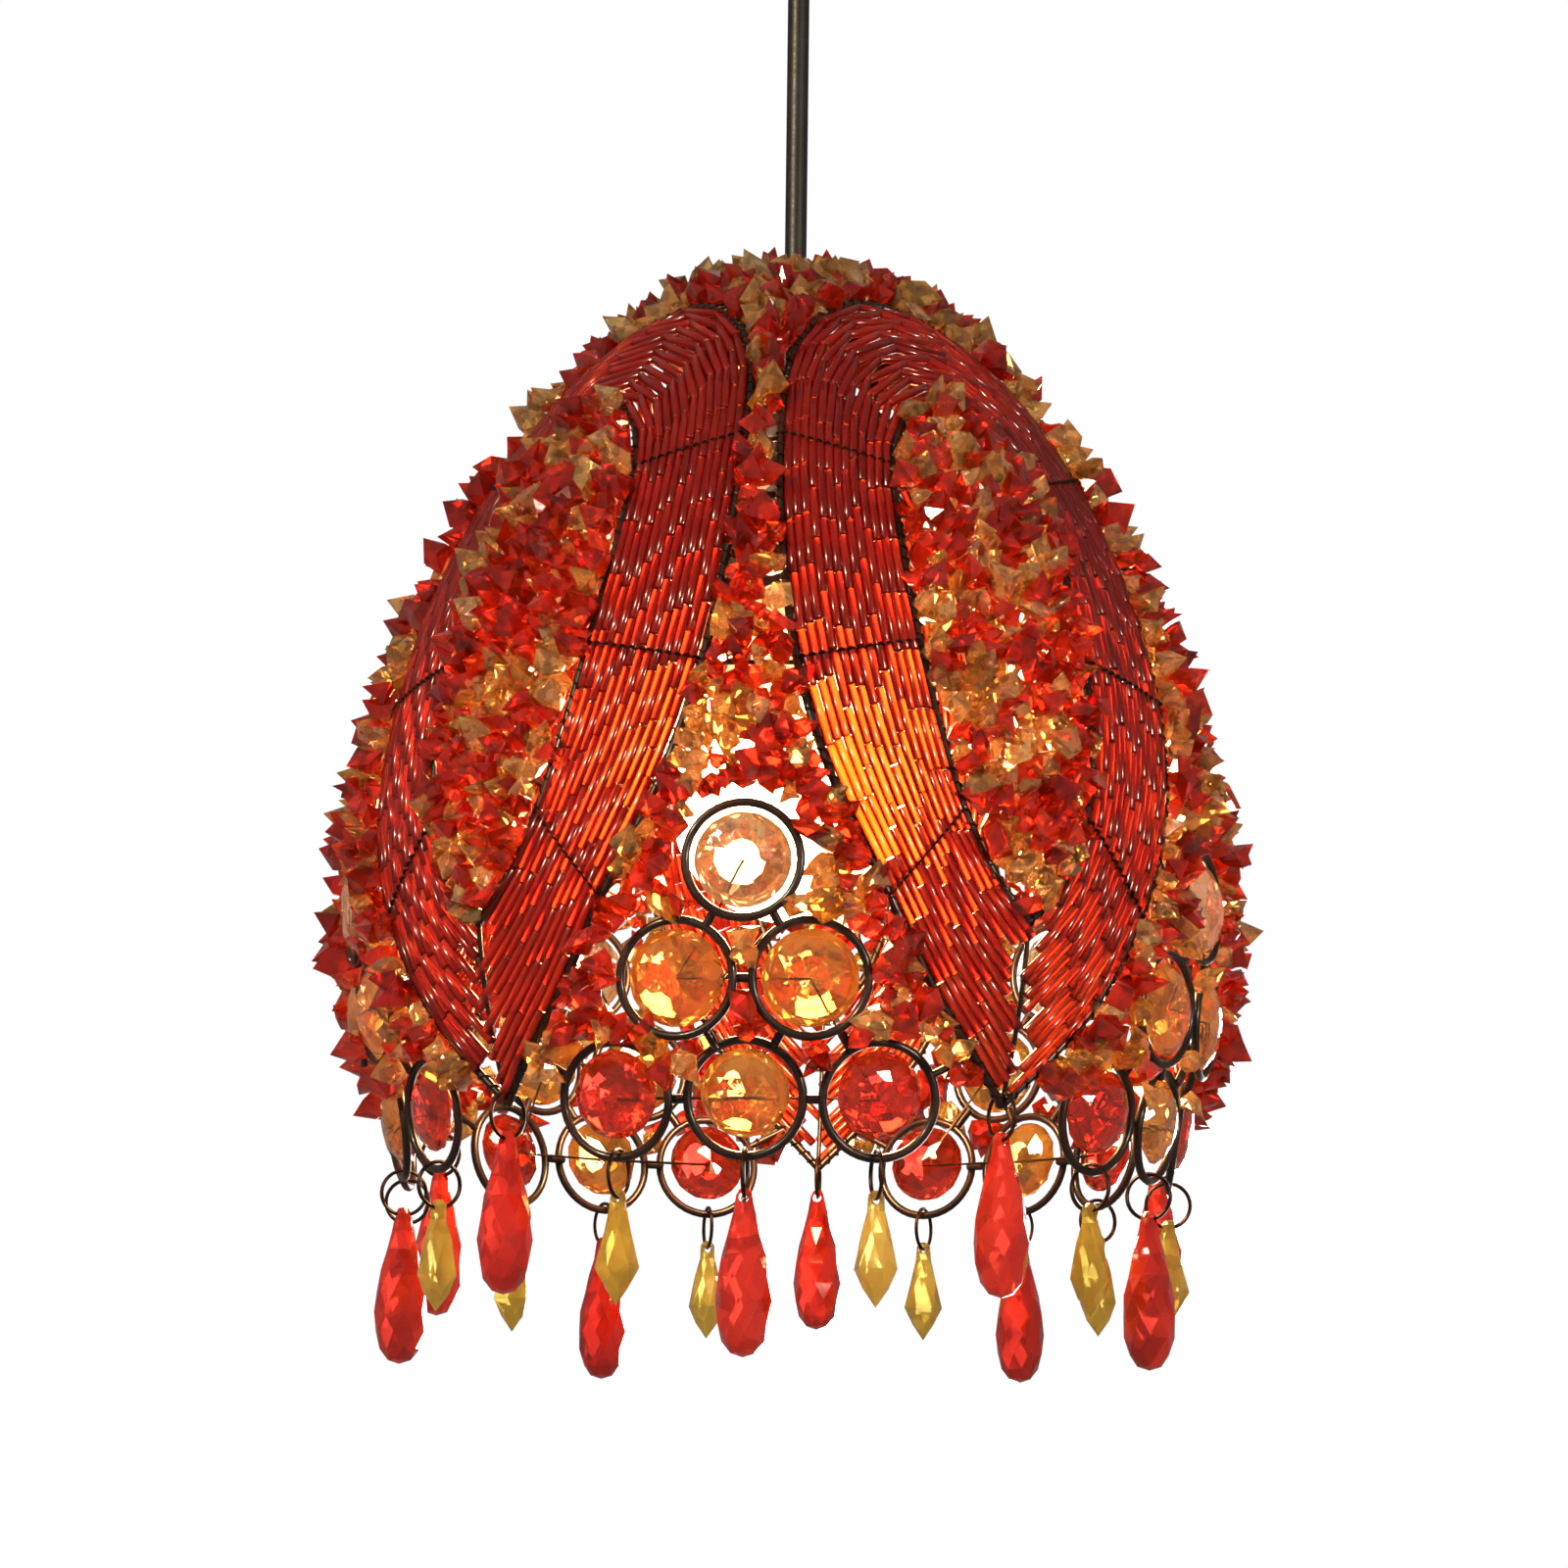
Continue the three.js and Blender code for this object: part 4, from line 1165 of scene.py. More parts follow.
@dataclass
class BeadBands:
    """The petals' bands of bugle bead strands, and the wires that tie the strands down."""

    dome: Dome
    outer: PetalOutline
    inner: PetalOutline
    strands: int = 13
    bead_length: float = 15 * MM
    bead_radius: float = 1.16 * MM
    bead_gap: float = 0.04 * MM
    lift: float = 0.8 * MM
    margin: float = 1.0 * MM
    rounding: float = 0.25 * MM
    sides: int = 7
    spare: float = 2 * MM
    tint: float = 0.45
    strand_tint: float = 0.08
    bead_tint: float = 0.16
    tilt: float = 0.005
    stray: float = 0.04 * MM
    stretch: tuple[float, float] = (0.96, 1.02)
    tied: tuple[int, ...] = (2, 4, 6)
    tie_radius: float = 0.42 * MM
    tie_floor: float = 0.9 * MM
    tie_wave: float = 1.3 * MM
    tie_points: int = 6

    def model(self) -> bpy.types.Object:
        """Model one bugle bead along Z, with rounded rims.

        Returns:
            The bead, centred on the origin.
        """
        half, rim = self.bead_length / 2, self.rounding
        profile = [
            (0, -half), (self.bead_radius - rim, -half), (self.bead_radius, -half + rim),
            (self.bead_radius, half - rim), (self.bead_radius - rim, half), (0, half),
        ]
        bead = built_up("bead_model", profile, self.sides)
        for face in bead.data.polygons:
            face.use_smooth = True
        return bead

    def route(self, number: int, middle: float, side: int) -> list[Vector]:
        """Route one strand up one side of the petal, from the seam at its foot to its top.

        Args:
            number: The strand, from 0 at the inner wire.
            middle: The petal's middle angle.
            side: 1 for the right side, -1 for the left.

        Returns:
            The points of its centreline.
        """
        share = (number + 0.5) / self.strands
        points = []
        for inside, outside in zip(self.inner.spots, self.outer.spots):
            start = self.dome.point(Spot(middle + side * inside.angle, inside.height), self.lift)
            end = self.dome.point(Spot(middle + side * outside.angle, outside.height), self.lift)
            width = (end - start).length
            inset = self.margin / max(width, 4 * self.margin)
            place = inset + share * (1 - 2 * inset)
            angle = inside.angle + place * (outside.angle - inside.angle)
            height = inside.height + place * (outside.height - inside.height)
            points.append(self.dome.point(Spot(middle + side * angle, height), self.lift))
        return points

    def band(self, middle: float, rng: random.Random) -> list[tuple[int, Matrix, float]]:
        """Thread the beads of one petal.

        Args:
            middle: The petal's middle angle.
            rng: The source of the beads' unevenness.

        Returns:
            For each bead, its model's number, its matrix and its tint.
        """
        places = []
        pitch = self.bead_length + self.bead_gap
        for number in range(self.strands):
            right = self.route(number, middle, 1)
            left = self.route(number, middle, -1)
            line = [*right, *reversed(left[:-1])]
            steps = [0.0]
            for start, end in zip(line, line[1:]):
                steps.append(steps[-1] + (end - start).length)
            count = int((steps[-1] - self.spare) / pitch)
            begin = (steps[-1] - count * pitch) / 2 + rng.uniform(-0.5, 0.5) * pitch
            coordinates = np.array([list(point) for point in line])

            def at(distance: float) -> Vector:
                """The route's point at a distance along it."""
                axes = (coordinates[:, axis] for axis in range(3))
                return Vector([float(np.interp(distance, steps, values)) for values in axes])

            hue = rng.uniform(-self.strand_tint, self.strand_tint)
            for index in range(count):
                centre = begin + (index + 0.5) * pitch
                back, front = at(centre - self.bead_length / 2), at(centre + self.bead_length / 2)
                along = (front - back).normalized()
                along += Vector([rng.gauss(0, self.tilt) for _ in range(3)])
                turn = along.to_track_quat("Z", "Y").to_matrix().to_4x4()
                spin = Matrix.Rotation(rng.uniform(0, 1), 4, "Z")
                stretch = Matrix.Diagonal((1, 1, rng.uniform(*self.stretch), 1))
                place = (back + front) / 2 + Vector([rng.gauss(0, self.stray) for _ in range(3)])
                tint = min(max(self.tint + hue + rng.gauss(0, self.bead_tint), 0), 1)
                places.append((0, Matrix.Translation(place) @ turn @ spin @ stretch, tint))
        return places

    def ties(self, middle: float) -> list[Strand]:
        """Route the wires laid across a petal's strands, dipping between one and the next.

        Args:
            middle: The petal's middle angle.

        Returns:
            The strands.
        """
        strands = []
        for side in (-1, 1):
            for index in self.tied:
                start = self.inner.spots[index * self.inner.steps]
                end = self.outer.spots[index * self.outer.steps]
                points = []
                count = self.tie_points * self.strands
                for step in range(count + 1):
                    share = step / count
                    spot = Spot(
                        middle + side * (start.angle + share * (end.angle - start.angle)),
                        start.height + share * (end.height - start.height),
                    )
                    wave = 0.5 - 0.5 * math.cos(2 * math.pi * share * self.strands)
                    points.append(self.dome.point(spot, self.tie_floor + self.tie_wave * wave))
                strands.append(Strand(points, self.tie_radius))
        return strands

    def build(self, finishes: Finishes) -> None:
        """Thread every band, and lay its ties.

        Args:
            finishes: The lamp's materials.
        """
        rng = random.Random(SEED)
        bead = self.model()
        ties = []
        for index in range(self.dome.sectors):
            middle = (index + 0.5) * self.dome.sector
            band = copied(f"bugle_band_{index + 1}", [bead], self.band(middle, rng))
            dress(band, finishes.bugle, [f"bead_band_{index + 1}"])
            ties += self.ties(middle)
        remove([bead])
        dress(drawn_wires("strand_ties", ties, 0), finishes.binding)


@dataclass
class ChipBeads:
    """The broken chips that fill the petals' hearts, the gaps and the crown."""

    dome: Dome
    outer: PetalOutline
    inner: PetalOutline
    rows: RingRows
    kinds: int = 8
    size: float = 3.8 * MM
    spacing: float = 4.1 * MM
    floor: float = 22 * MM
    hole: float = 5.5 * MM
    lifts: tuple[float, float] = (0.2 * MM, 4.0 * MM)
    lean: float = 0.5
    edge: float = 1.5 * MM
    crown_half_angle: float = 12.0
    ring_room: float = 0.8 * MM
    scatter: float = 0.15
    top_room: float = 0.5 * MM
    top_margin: float = 0.2 * MM
    summit: tuple[float, float] = (1.4, 1.75)
    pointed: tuple[float, float] = (1.15, 1.45)
    blunt: tuple[float, float] = (0.5, 0.9)
    points: int = 3
    scales: tuple[float, float] = (0.72, 1.28)
    patches_per_metre: float = 60.0
    patch_weight: float = 0.6
    patch_noise: float = 0.3
    amber_above: float = 0.1
    amber_tints: tuple[float, float] = (0.6, 1.0)
    red_tints: tuple[float, float] = (0.02, 0.42)

    def model(self, number: int, rng: random.Random) -> bpy.types.Object:
        """Model one chip: twenty facets, with a long point along Z and some shorter ones.

        Args:
            number: The chip's number.
            rng: The source of its unevenness.

        Returns:
            The chip, centred on the origin.
        """
        deselect()
        bpy.ops.mesh.primitive_ico_sphere_add(subdivisions=1, radius=self.size, location=(0, 0, 0))
        chip = bpy.context.object
        chip.name = f"chip_model_{number}"
        corners = [vertex.co.copy() for vertex in chip.data.vertices]
        bpy.ops.object.mode_set(mode="EDIT")
        summit = max(range(len(corners)), key=lambda index: corners[index].z)
        pointed = rng.sample(range(len(corners)), self.points)
        near = 0.01 * self.size
        for index, corner in enumerate(corners):
            share = rng.uniform(*(self.pointed if index in pointed else self.blunt))
            share = rng.uniform(*self.summit) if index == summit else share
            select_where(chip, lambda place, corner=corner: (place - corner).length < near)
            bpy.ops.transform.translate(value=corner * (share - 1))
        bpy.ops.object.mode_set(mode="OBJECT")
        return chip

    def is_covered(self, spot: Spot) -> bool:
        """Say whether chips cover a spot: in a heart, in a gap clear of the rings, or on the crown.

        Args:
            spot: The spot.

        Returns:
            Whether a chip may sit there.
        """
        radius = self.dome.radius(spot.height)
        if radius < self.hole:
            return False
        edge = math.degrees(self.edge / radius)
        from_petal = abs((spot.angle % self.dome.sector) - self.dome.sector / 2)
        if from_petal < self.inner.reach(spot.height) - edge:
            return True
        brow = self.outer.top + self.edge
        if spot.height < brow and from_petal < self.outer.reach(spot.height) + edge:
            return False
        if self.outer.top <= spot.height < brow and from_petal < self.crown_half_angle:
            return False
        here = self.dome.point(Spot(from_zero(spot.angle, self.dome.sector), spot.height))
        reach = self.rows.pitch / 2 + self.ring_room
        centres = (self.rows.matrix(ring, 0).translation for ring in self.rows.rings)
        return all((here - centre).length > reach for centre in centres)

    def build(self, finishes: Finishes) -> None:
        """Scatter the chips over the parts of the dome that they cover.

        Args:
            finishes: The lamp's materials.
        """
        rng = random.Random(SEED + 1)
        models = [self.model(number, rng) for number in range(self.kinds)]
        places = []
        highest = self.dome.top - self.top_margin
        for height in self.dome.meridian(self.floor, self.dome.top - self.top_room, self.spacing):
            round_count = max(1, int(2 * math.pi * self.dome.radius(height) / self.spacing))
            begin = rng.uniform(0, 360)
            for index in range(round_count):
                jitter = rng.gauss(0, self.scatter) * self.spacing
                spot = Spot(
                    begin + 360 * (index + rng.gauss(0, self.scatter)) / round_count,
                    min(height + jitter / math.hypot(1, self.dome.slope(height)), highest),
                )
                if not self.is_covered(spot):
                    continue
                place = self.dome.point(spot, rng.uniform(*self.lifts))
                aim = self.dome.normal(spot) + Vector([rng.gauss(0, self.lean) for _ in range(3)])
                turn = aim.to_track_quat("Z", "Y")
                spin = Matrix.Rotation(rng.uniform(0, 2 * math.pi), 4, "Z")
                scale = Matrix.Scale(rng.uniform(*self.scales), 4)
                patch = self.patch_weight * noise.noise(place * self.patches_per_metre)
                amber = patch + rng.gauss(0, self.patch_noise) > self.amber_above
                tint = rng.uniform(*(self.amber_tints if amber else self.red_tints))
                matrix = Matrix.Translation(place) @ turn.to_matrix().to_4x4() @ spin @ scale
                places.append((rng.randrange(self.kinds), matrix, tint))
        chips = copied("acrylic_chips", models, places)
        dress(chips, finishes.chips, ["chip_beads"])
        remove(models)


class StoneTint(Enum):
    """The stones' colours, as places on their finish's run of colours."""

    RED = 0.12
    AMBER = 0.66
    CLEAR = 0.94


# Tints of a gap's stones, in the order of its rings, and the order in which a wire strings them.
STONE_TINTS = (
    StoneTint.RED, StoneTint.AMBER, StoneTint.RED, StoneTint.AMBER, StoneTint.AMBER, StoneTint.CLEAR,
)
STRING_ORDER = (0, 1, 2, 4, 3, 5)
# A stone's outline from back to table, as shares of its radius and of its depth.
STONE_OUTLINE = (
    (0, -1), (0.42, -0.82), (0.78, -0.45), (1, -0.06), (1, 0.06), (0.82, 0.5), (0.58, 0.8),
    (0.36, 0.9), (0, 0.92),
)


@dataclass
class Stones:
    """The faceted stones in the rings, with the wire that strings them."""

    dome: Dome
    rows: RingRows
    sides: int = 12
    rim_radius: float = 10.2 * MM
    upper_radius: float = 11.2 * MM
    rim_lift: float = 1.2 * MM
    depth: float = 4 * MM
    tilt: float = 0.05
    tint: float = 0.03
    string: float = 0.35 * MM
    string_depth: float = -0.7

    def model(self, name: str, radius: float) -> bpy.types.Object:
        """Model one stone facing +Z, with a flat table, rows of facets and a deep back."""
        profile = [(out * radius, up * self.depth) for out, up in STONE_OUTLINE]
        return built_up(name, profile, self.sides, twisted=True)

    def build(self, finishes: Finishes) -> None:
        """Set a stone in every ring.

        Args:
            finishes: The lamp's materials.
        """
        rng = random.Random(SEED + 2)
        models = [
            self.model("rim_stone_model", self.rim_radius),
            self.model("upper_stone_model", self.upper_radius),
        ]
        strings = []
        for index in range(self.dome.sectors):
            middle = index * self.dome.sector
            places, centres = [], []
            for ring, colour in zip(self.rows.rings, STONE_TINTS):
                setting = self.rows.matrix(ring, middle)
                lift = self.rim_lift if ring.row == 0 else 0.0
                spin = Matrix.Rotation(rng.uniform(0, 1), 4, "Z")
                nod = Matrix.Rotation(rng.gauss(0, self.tilt), 4, "X")
                tilt = nod @ Matrix.Rotation(rng.gauss(0, self.tilt), 4, "Y")
                matrix = setting @ Matrix.Translation((0, lift, 0)) @ tilt @ spin
                tint = min(max(colour.value + rng.gauss(0, self.tint), 0), 1)
                places.append((0 if ring.row == 0 else 1, matrix, tint))
                centres.append(setting @ Vector((0, 0, self.string_depth * self.depth)))
            stones = copied(f"stones_{index + 1}", models, places)
            dress(stones, finishes.stones, [f"stone_cluster_{index + 1}"])
            strings.append(Strand([centres[number] for number in STRING_ORDER], self.string))
        remove(models)
        dress(drawn_wires("stone_strings", strings, 0), finishes.binding)


# ---- The fringe ----


class DropShape(NamedTuple):
    """A drop's outline from foot to top, as radius and height over its hole in millimetres."""

    outline: tuple[tuple[float, float], ...]
    sides: int


RED_SHAPE = DropShape(
    (
        (0, -35.8), (2.9, -34.9), (4.9, -32.2), (6.1, -28), (6.5, -23.2), (6.1, -18), (5.1, -13),
        (3.9, -8.2), (2.7, -3.8), (2.0, 0.6), (1.2, 2.0), (0, 2.2),
    ),
    8,
)
GOLD_SHAPE = DropShape(
    (
        (0, -24.3), (3.0, -20.1), (5.15, -15.6), (3.4, -7.5), (2.1, -2.6), (1.9, 1.0), (1.1, 2.0),
        (0, 2.2),
    ),
    6,
)


@dataclass
class Fringe:
    """The drops that hang round the rim, each in a jump ring."""

    count: int = 20
    ring_wire: float = 0.5 * MM
    ring_points: int = 32
    hole_radius: float = 1.15 * MM
    hole_depth: float = 2.2 * MM
    drill_length: float = 12 * MM
    tints: tuple[float, float] = (0.1, 0.9)

    def jump_ring(self, name: str, node: str) -> bpy.types.Object:
        """Draw a ring of round wire where its CAD node is.

        Args:
            name: The piece's name.
            node: The CAD node that it stands for.

        Returns:
            The ring.
        """
        low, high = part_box(node)
        centre = (low + high) / 2
        radius = (high.z - low.z) / 2 - self.ring_wire
        turn = Matrix.Rotation(math.atan2(centre.x, -centre.y), 4, "Z")
        place = Matrix.Translation(centre) @ turn @ Matrix.Rotation(math.pi / 2, 4, "Y")
        points = circle(place, radius, self.ring_points)
        return drawn_wires(name, [Strand(points, self.ring_wire, True)], 1)

    def drop_model(self, name: str, shape: DropShape) -> bpy.types.Object:
        """Model a faceted drop.

        Args:
            name: The model's name.
            shape: Its shape.

        Returns:
            The drop, with its hole along Y through the origin.
        """
        drop = built_up(name, in_metres(shape.outline), shape.sides, twisted=True)
        deselect()
        bpy.ops.mesh.primitive_cylinder_add(
            vertices=12, radius=self.hole_radius, depth=self.drill_length, rotation=(math.pi / 2, 0, 0)
        )
        cut_away(drop, bpy.context.object)
        return drop

    def build(self, finishes: Finishes) -> None:
        """Hang every drop from its ring.

        Args:
            finishes: The lamp's materials.
        """
        rng = random.Random(SEED + 3)
        models = {
            "red": self.drop_model("red_model", RED_SHAPE),
            "gold": self.drop_model("gold_model", GOLD_SHAPE),
        }
        materials = {"red": finishes.red_drop, "gold": finishes.gold_drop}
        for index in range(self.count):
            number = f"{index + 1:02d}"
            colour = "red" if index % 2 == 0 else "gold"
            ring = self.jump_ring(f"jump_link_{number}", f"jump_ring_{number}")
            dress(ring, finishes.binding, [f"jump_ring_{number}"], f"ring_{number}")
            node = f"{colour}_drop_{number}"
            low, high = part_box(node)
            centre = (low + high) / 2
            hole = Vector((centre.x, centre.y, high.z - self.hole_depth))
            turn = Matrix.Rotation(math.atan2(hole.x, -hole.y), 4, "Z")
            places = [(0, Matrix.Translation(hole) @ turn, rng.uniform(*self.tints))]
            drop = copied(f"{colour}_pendant_{number}", [models[colour]], places)
            dress(drop, materials[colour], [node], f"drop_{number}")
        remove(models.values())


# ---- The lampholder and the bulb ----


# Outlines round the axis, in millimetres, with heights over the piece's lowest point. The holder's
# goes down its bore, out and down its socket's wall, and then up its outside.
HOLDER_OUTLINE = (
    (3.2, 64), (3.2, 25), (14.5, 25), (14.5, 0), (19, 0), (19, 19.35), (21.2, 19.35), (21.2, 22.3),
    (19, 24.3), (19, 30), (18.2, 30.8), (19, 31.6), (19, 46), (16, 51), (10, 54.5), (7, 56.5), (7, 64),
    (3.2, 64),
)
CLAMP_OUTLINE = (
    (19.3, 10), (19.3, 0), (24, 0), (24, 2), (23.4, 2.6), (24, 3.2), (24, 7), (27, 7), (27, 10),
    (19.3, 10),
)
NECK_OUTLINE = ((18.0, 60), (15.3, 69), (13.9, 77), (13.2, 83), (0, 83))
CAP_TOP_OUTLINE = ((12.5, 102), (7, 105), (4.5, 105.4), (4.5, 108), (0, 108))


@dataclass
class LightSource:
    """The lampholder, the ring that clamps the shade to it and the bulb."""

    sides: int = 48
    holder_bevel: float = 0.4 * MM
    clamp_bevel: float = 0.3 * MM
    globe_radius: float = 30.0
    globe_steps: int = 17
    globe_step_angle: float = 8.2
    cap_foot: float = 83.1
    thread_turns: int = 7
    thread_pitch: float = 2.6
    thread_root: float = 12.5
    thread_crest: float = 13.1

    def turned(
        self, name: str, node: str, outline: Sequence[tuple[float, float]], bevel: float = 0.0
    ) -> bpy.types.Object:
        """Turn a piece round the axis where its CAD node is.

        Args:
            name: The piece's name.
            node: The CAD node, whose lowest point is the outline's foot.
            outline: Radii and heights in millimetres.
            bevel: The width of its edges' rounding.

        Returns:
            The piece.
        """
        low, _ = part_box(node)
        piece = built_up(name, in_metres(outline, low.z), self.sides)
        if bevel:
            apply_bevel(piece, bevel)
        return smooth(piece)

    def build(self, finishes: Finishes) -> None:
        """Make the lampholder, the clamping ring, the bulb and its cap.

        Args:
            finishes: The lamp's materials.
        """
        holder = self.turned("phenolic_lampholder", "lampholder", HOLDER_OUTLINE, self.holder_bevel)
        dress(holder, finishes.phenolic, ["lampholder"])
        ring = self.turned("clamping_ring", "shade_ring", CLAMP_OUTLINE, self.clamp_bevel)
        dress(ring, finishes.phenolic, ["shade_ring"])
        globe = []
        for step in range(self.globe_steps):
            turn = math.radians(step * self.globe_step_angle)
            globe.append((self.globe_radius * math.sin(turn), self.globe_radius * (1 - math.cos(turn))))
        glass = self.turned("frosted_bulb", "bulb", [*globe, *NECK_OUTLINE])
        dress(glass, finishes.bulb, ["bulb"])
        thread = [(0, self.cap_foot)]
        for turn in range(self.thread_turns):
            level = self.cap_foot + self.thread_pitch * turn
            thread += [(self.thread_root, level), (self.thread_crest, level + self.thread_pitch / 2)]
        cap = self.turned("bulb_cap", "bulb", [*thread, *CAP_TOP_OUTLINE])
        dress(cap, finishes.cap)


# ---- The cord and the ceiling fitting ----


# The cup's outside, from its underside up to its mouth at the ceiling, as shares of its radius and
# of its height.
CUP_OUTLINE = (
    (0.6, 0), (0.74, 0.015), (0.86, 0.07), (0.94, 0.17), (0.985, 0.3), (1, 0.44), (1, 0.93), (1, 1),
)
# The grip's outline in millimetres: its bore, its tapered foot, a collar with two grooves to hold
# it by, and its stem.
GRIP_OUTLINE = (
    (3.2, 17.3), (3.2, 0), (4.6, 0), (5.6, 0.4), (6.3, 1.6), (6.8, 3.2), (8, 3.6), (8, 4.4), (7.6, 4.8),
    (8, 5.2), (8, 6.0), (7.6, 6.4), (8, 6.8), (8, 8), (4.9, 8), (4.9, 17.3), (3.2, 17.3),
)


@dataclass
class Suspension:
    """The taut flex, and the cup, grip, bracket and screw at the ceiling."""

    cup_sides: int = 64
    grip_sides: int = 40
    screw_sides: int = 24
    cord_radius: float = 2.85 * MM
    cord_points: int = 24
    cup_wall: float = 1.6 * MM
    cup_hole: float = 5.2 * MM
    cup_bevel: float = 0.4 * MM
    grip_bevel: float = 0.15 * MM
    screw_hole: float = 1.9 * MM
    drill_length: float = 12 * MM
    head_length: float = 1.8 * MM
    screw_point: float = 1.2
    screw_crest: float = 1.5
    screw_root: float = 1.25
    screw_turns: int = 4
    slot_width: float = 0.8 * MM
    slot_height: float = 1.6 * MM

    def flex(self) -> bpy.types.Object:
        """Draw the flex as one straight line from the lampholder to the ceiling cup.

        Returns:
            The flex, as a curve.
        """
        low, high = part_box("cord")
        levels = np.linspace(low.z, high.z, self.cord_points)
        route = Strand([Vector((0, 0, level)) for level in levels], self.cord_radius)
        return drawn_curve("flex", [route], self.cord_radius, 5)

    def cup(self) -> bpy.types.Object:
        """Turn the ceiling cup and drill its screw hole.

        Returns:
            The cup.
        """
        low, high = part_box("ceiling_cup")
        radius = high.x
        height = high.z - low.z
        outer = [(out * radius, up * height) for out, up in CUP_OUTLINE]
        inner = []
        for out, up in reversed(outer[:-1]):
            inner.append((max(out - self.cup_wall, self.cup_hole), max(up, self.cup_wall)))
        lip = (radius - self.cup_wall, height)
        bore = [(self.cup_hole, self.cup_wall), (self.cup_hole, 0)]
        profile = [(self.cup_hole, 0), *outer, lip, *inner, *bore]
        cup = built_up("ceiling_rose", [(out, low.z + up) for out, up in profile], self.cup_sides)
        apply_bevel(cup, self.cup_bevel)
        screw_low, screw_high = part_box("cup_screw")
        deselect()
        bpy.ops.mesh.primitive_cylinder_add(
            vertices=24, radius=self.screw_hole, depth=self.drill_length, rotation=(0, math.pi / 2, 0),
            location=(radius, 0, (screw_low.z + screw_high.z) / 2),
        )
        cut_away(cup, bpy.context.object)
        return smooth(cup)

    def grip(self) -> bpy.types.Object:
        """Turn the cord grip.

        Returns:
            The grip.
        """
        low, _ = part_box("cord_grip")
        grip = built_up("flex_grip", in_metres(GRIP_OUTLINE, low.z), self.grip_sides)
        apply_bevel(grip, self.grip_bevel)
        return smooth(grip)

    def screw(self) -> bpy.types.Object:
        """Model the round headed screw with its slot, pointing in along X.

        Returns:
            The screw.
        """
        low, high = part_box("cup_screw")
        level = (low.z + high.z) / 2
        head_radius = (high.z - low.z) / 2
        length = high.x - low.x
        thread = [(0, 0), (self.screw_point, 0), (self.screw_crest, 0.4)]
        for turn in range(self.screw_turns):
            thread += [(self.screw_crest, 0.5 + turn), (self.screw_root, 1.0 + turn)]
        seat = length - self.head_length
        head = [
            (self.screw_crest * MM, seat), (head_radius, seat), (head_radius, seat + 0.7 * MM),
            (0.8 * head_radius, seat + 1.4 * MM), (0.45 * head_radius, length), (0, length),
        ]
        screw = built_up("cup_screw_round_head", [*in_metres(thread), *head], self.screw_sides)
        deselect()
        slot = (self.drill_length, self.slot_width, self.slot_height)
        bpy.ops.mesh.primitive_cube_add(size=1, location=(0, 0, length), scale=slot)
        cut_away(screw, bpy.context.object)
        turn = Matrix.Rotation(math.pi / 2, 4, "Y")
        screw.data.transform(Matrix.Translation((low.x, 0, level)) @ turn)
        return smooth(screw)

    def build(self, finishes: Finishes) -> None:
        """Args:
            finishes: The lamp's materials.
        """
        grip = dress(self.grip(), finishes.phenolic, ["cord_grip"])
        cup = dress(self.cup(), finishes.paint, ["ceiling_cup"])
        screw = dress(self.screw(), finishes.zinc, ["cup_screw"])
        flex = dress(self.flex(), finishes.flex, ["cord"])


# ---- The studio ----


class SoftLight(NamedTuple):
    """A soft square light: where it stands, the length of its side, its watts and its colour."""

    place: tuple[float, float, float]
    size: float
    watts: float
    colour: str


LIGHTS = (
    SoftLight((-0.9, -1.4, 0.5), 0.13, 28, "#ffe6c4"),
    SoftLight((1.2, -1.2, -0.1), 0.2, 15, "#ffeeda"),
    SoftLight((0.3, 1.6, -0.3), 0.8, 20, "#ffffff"),
)


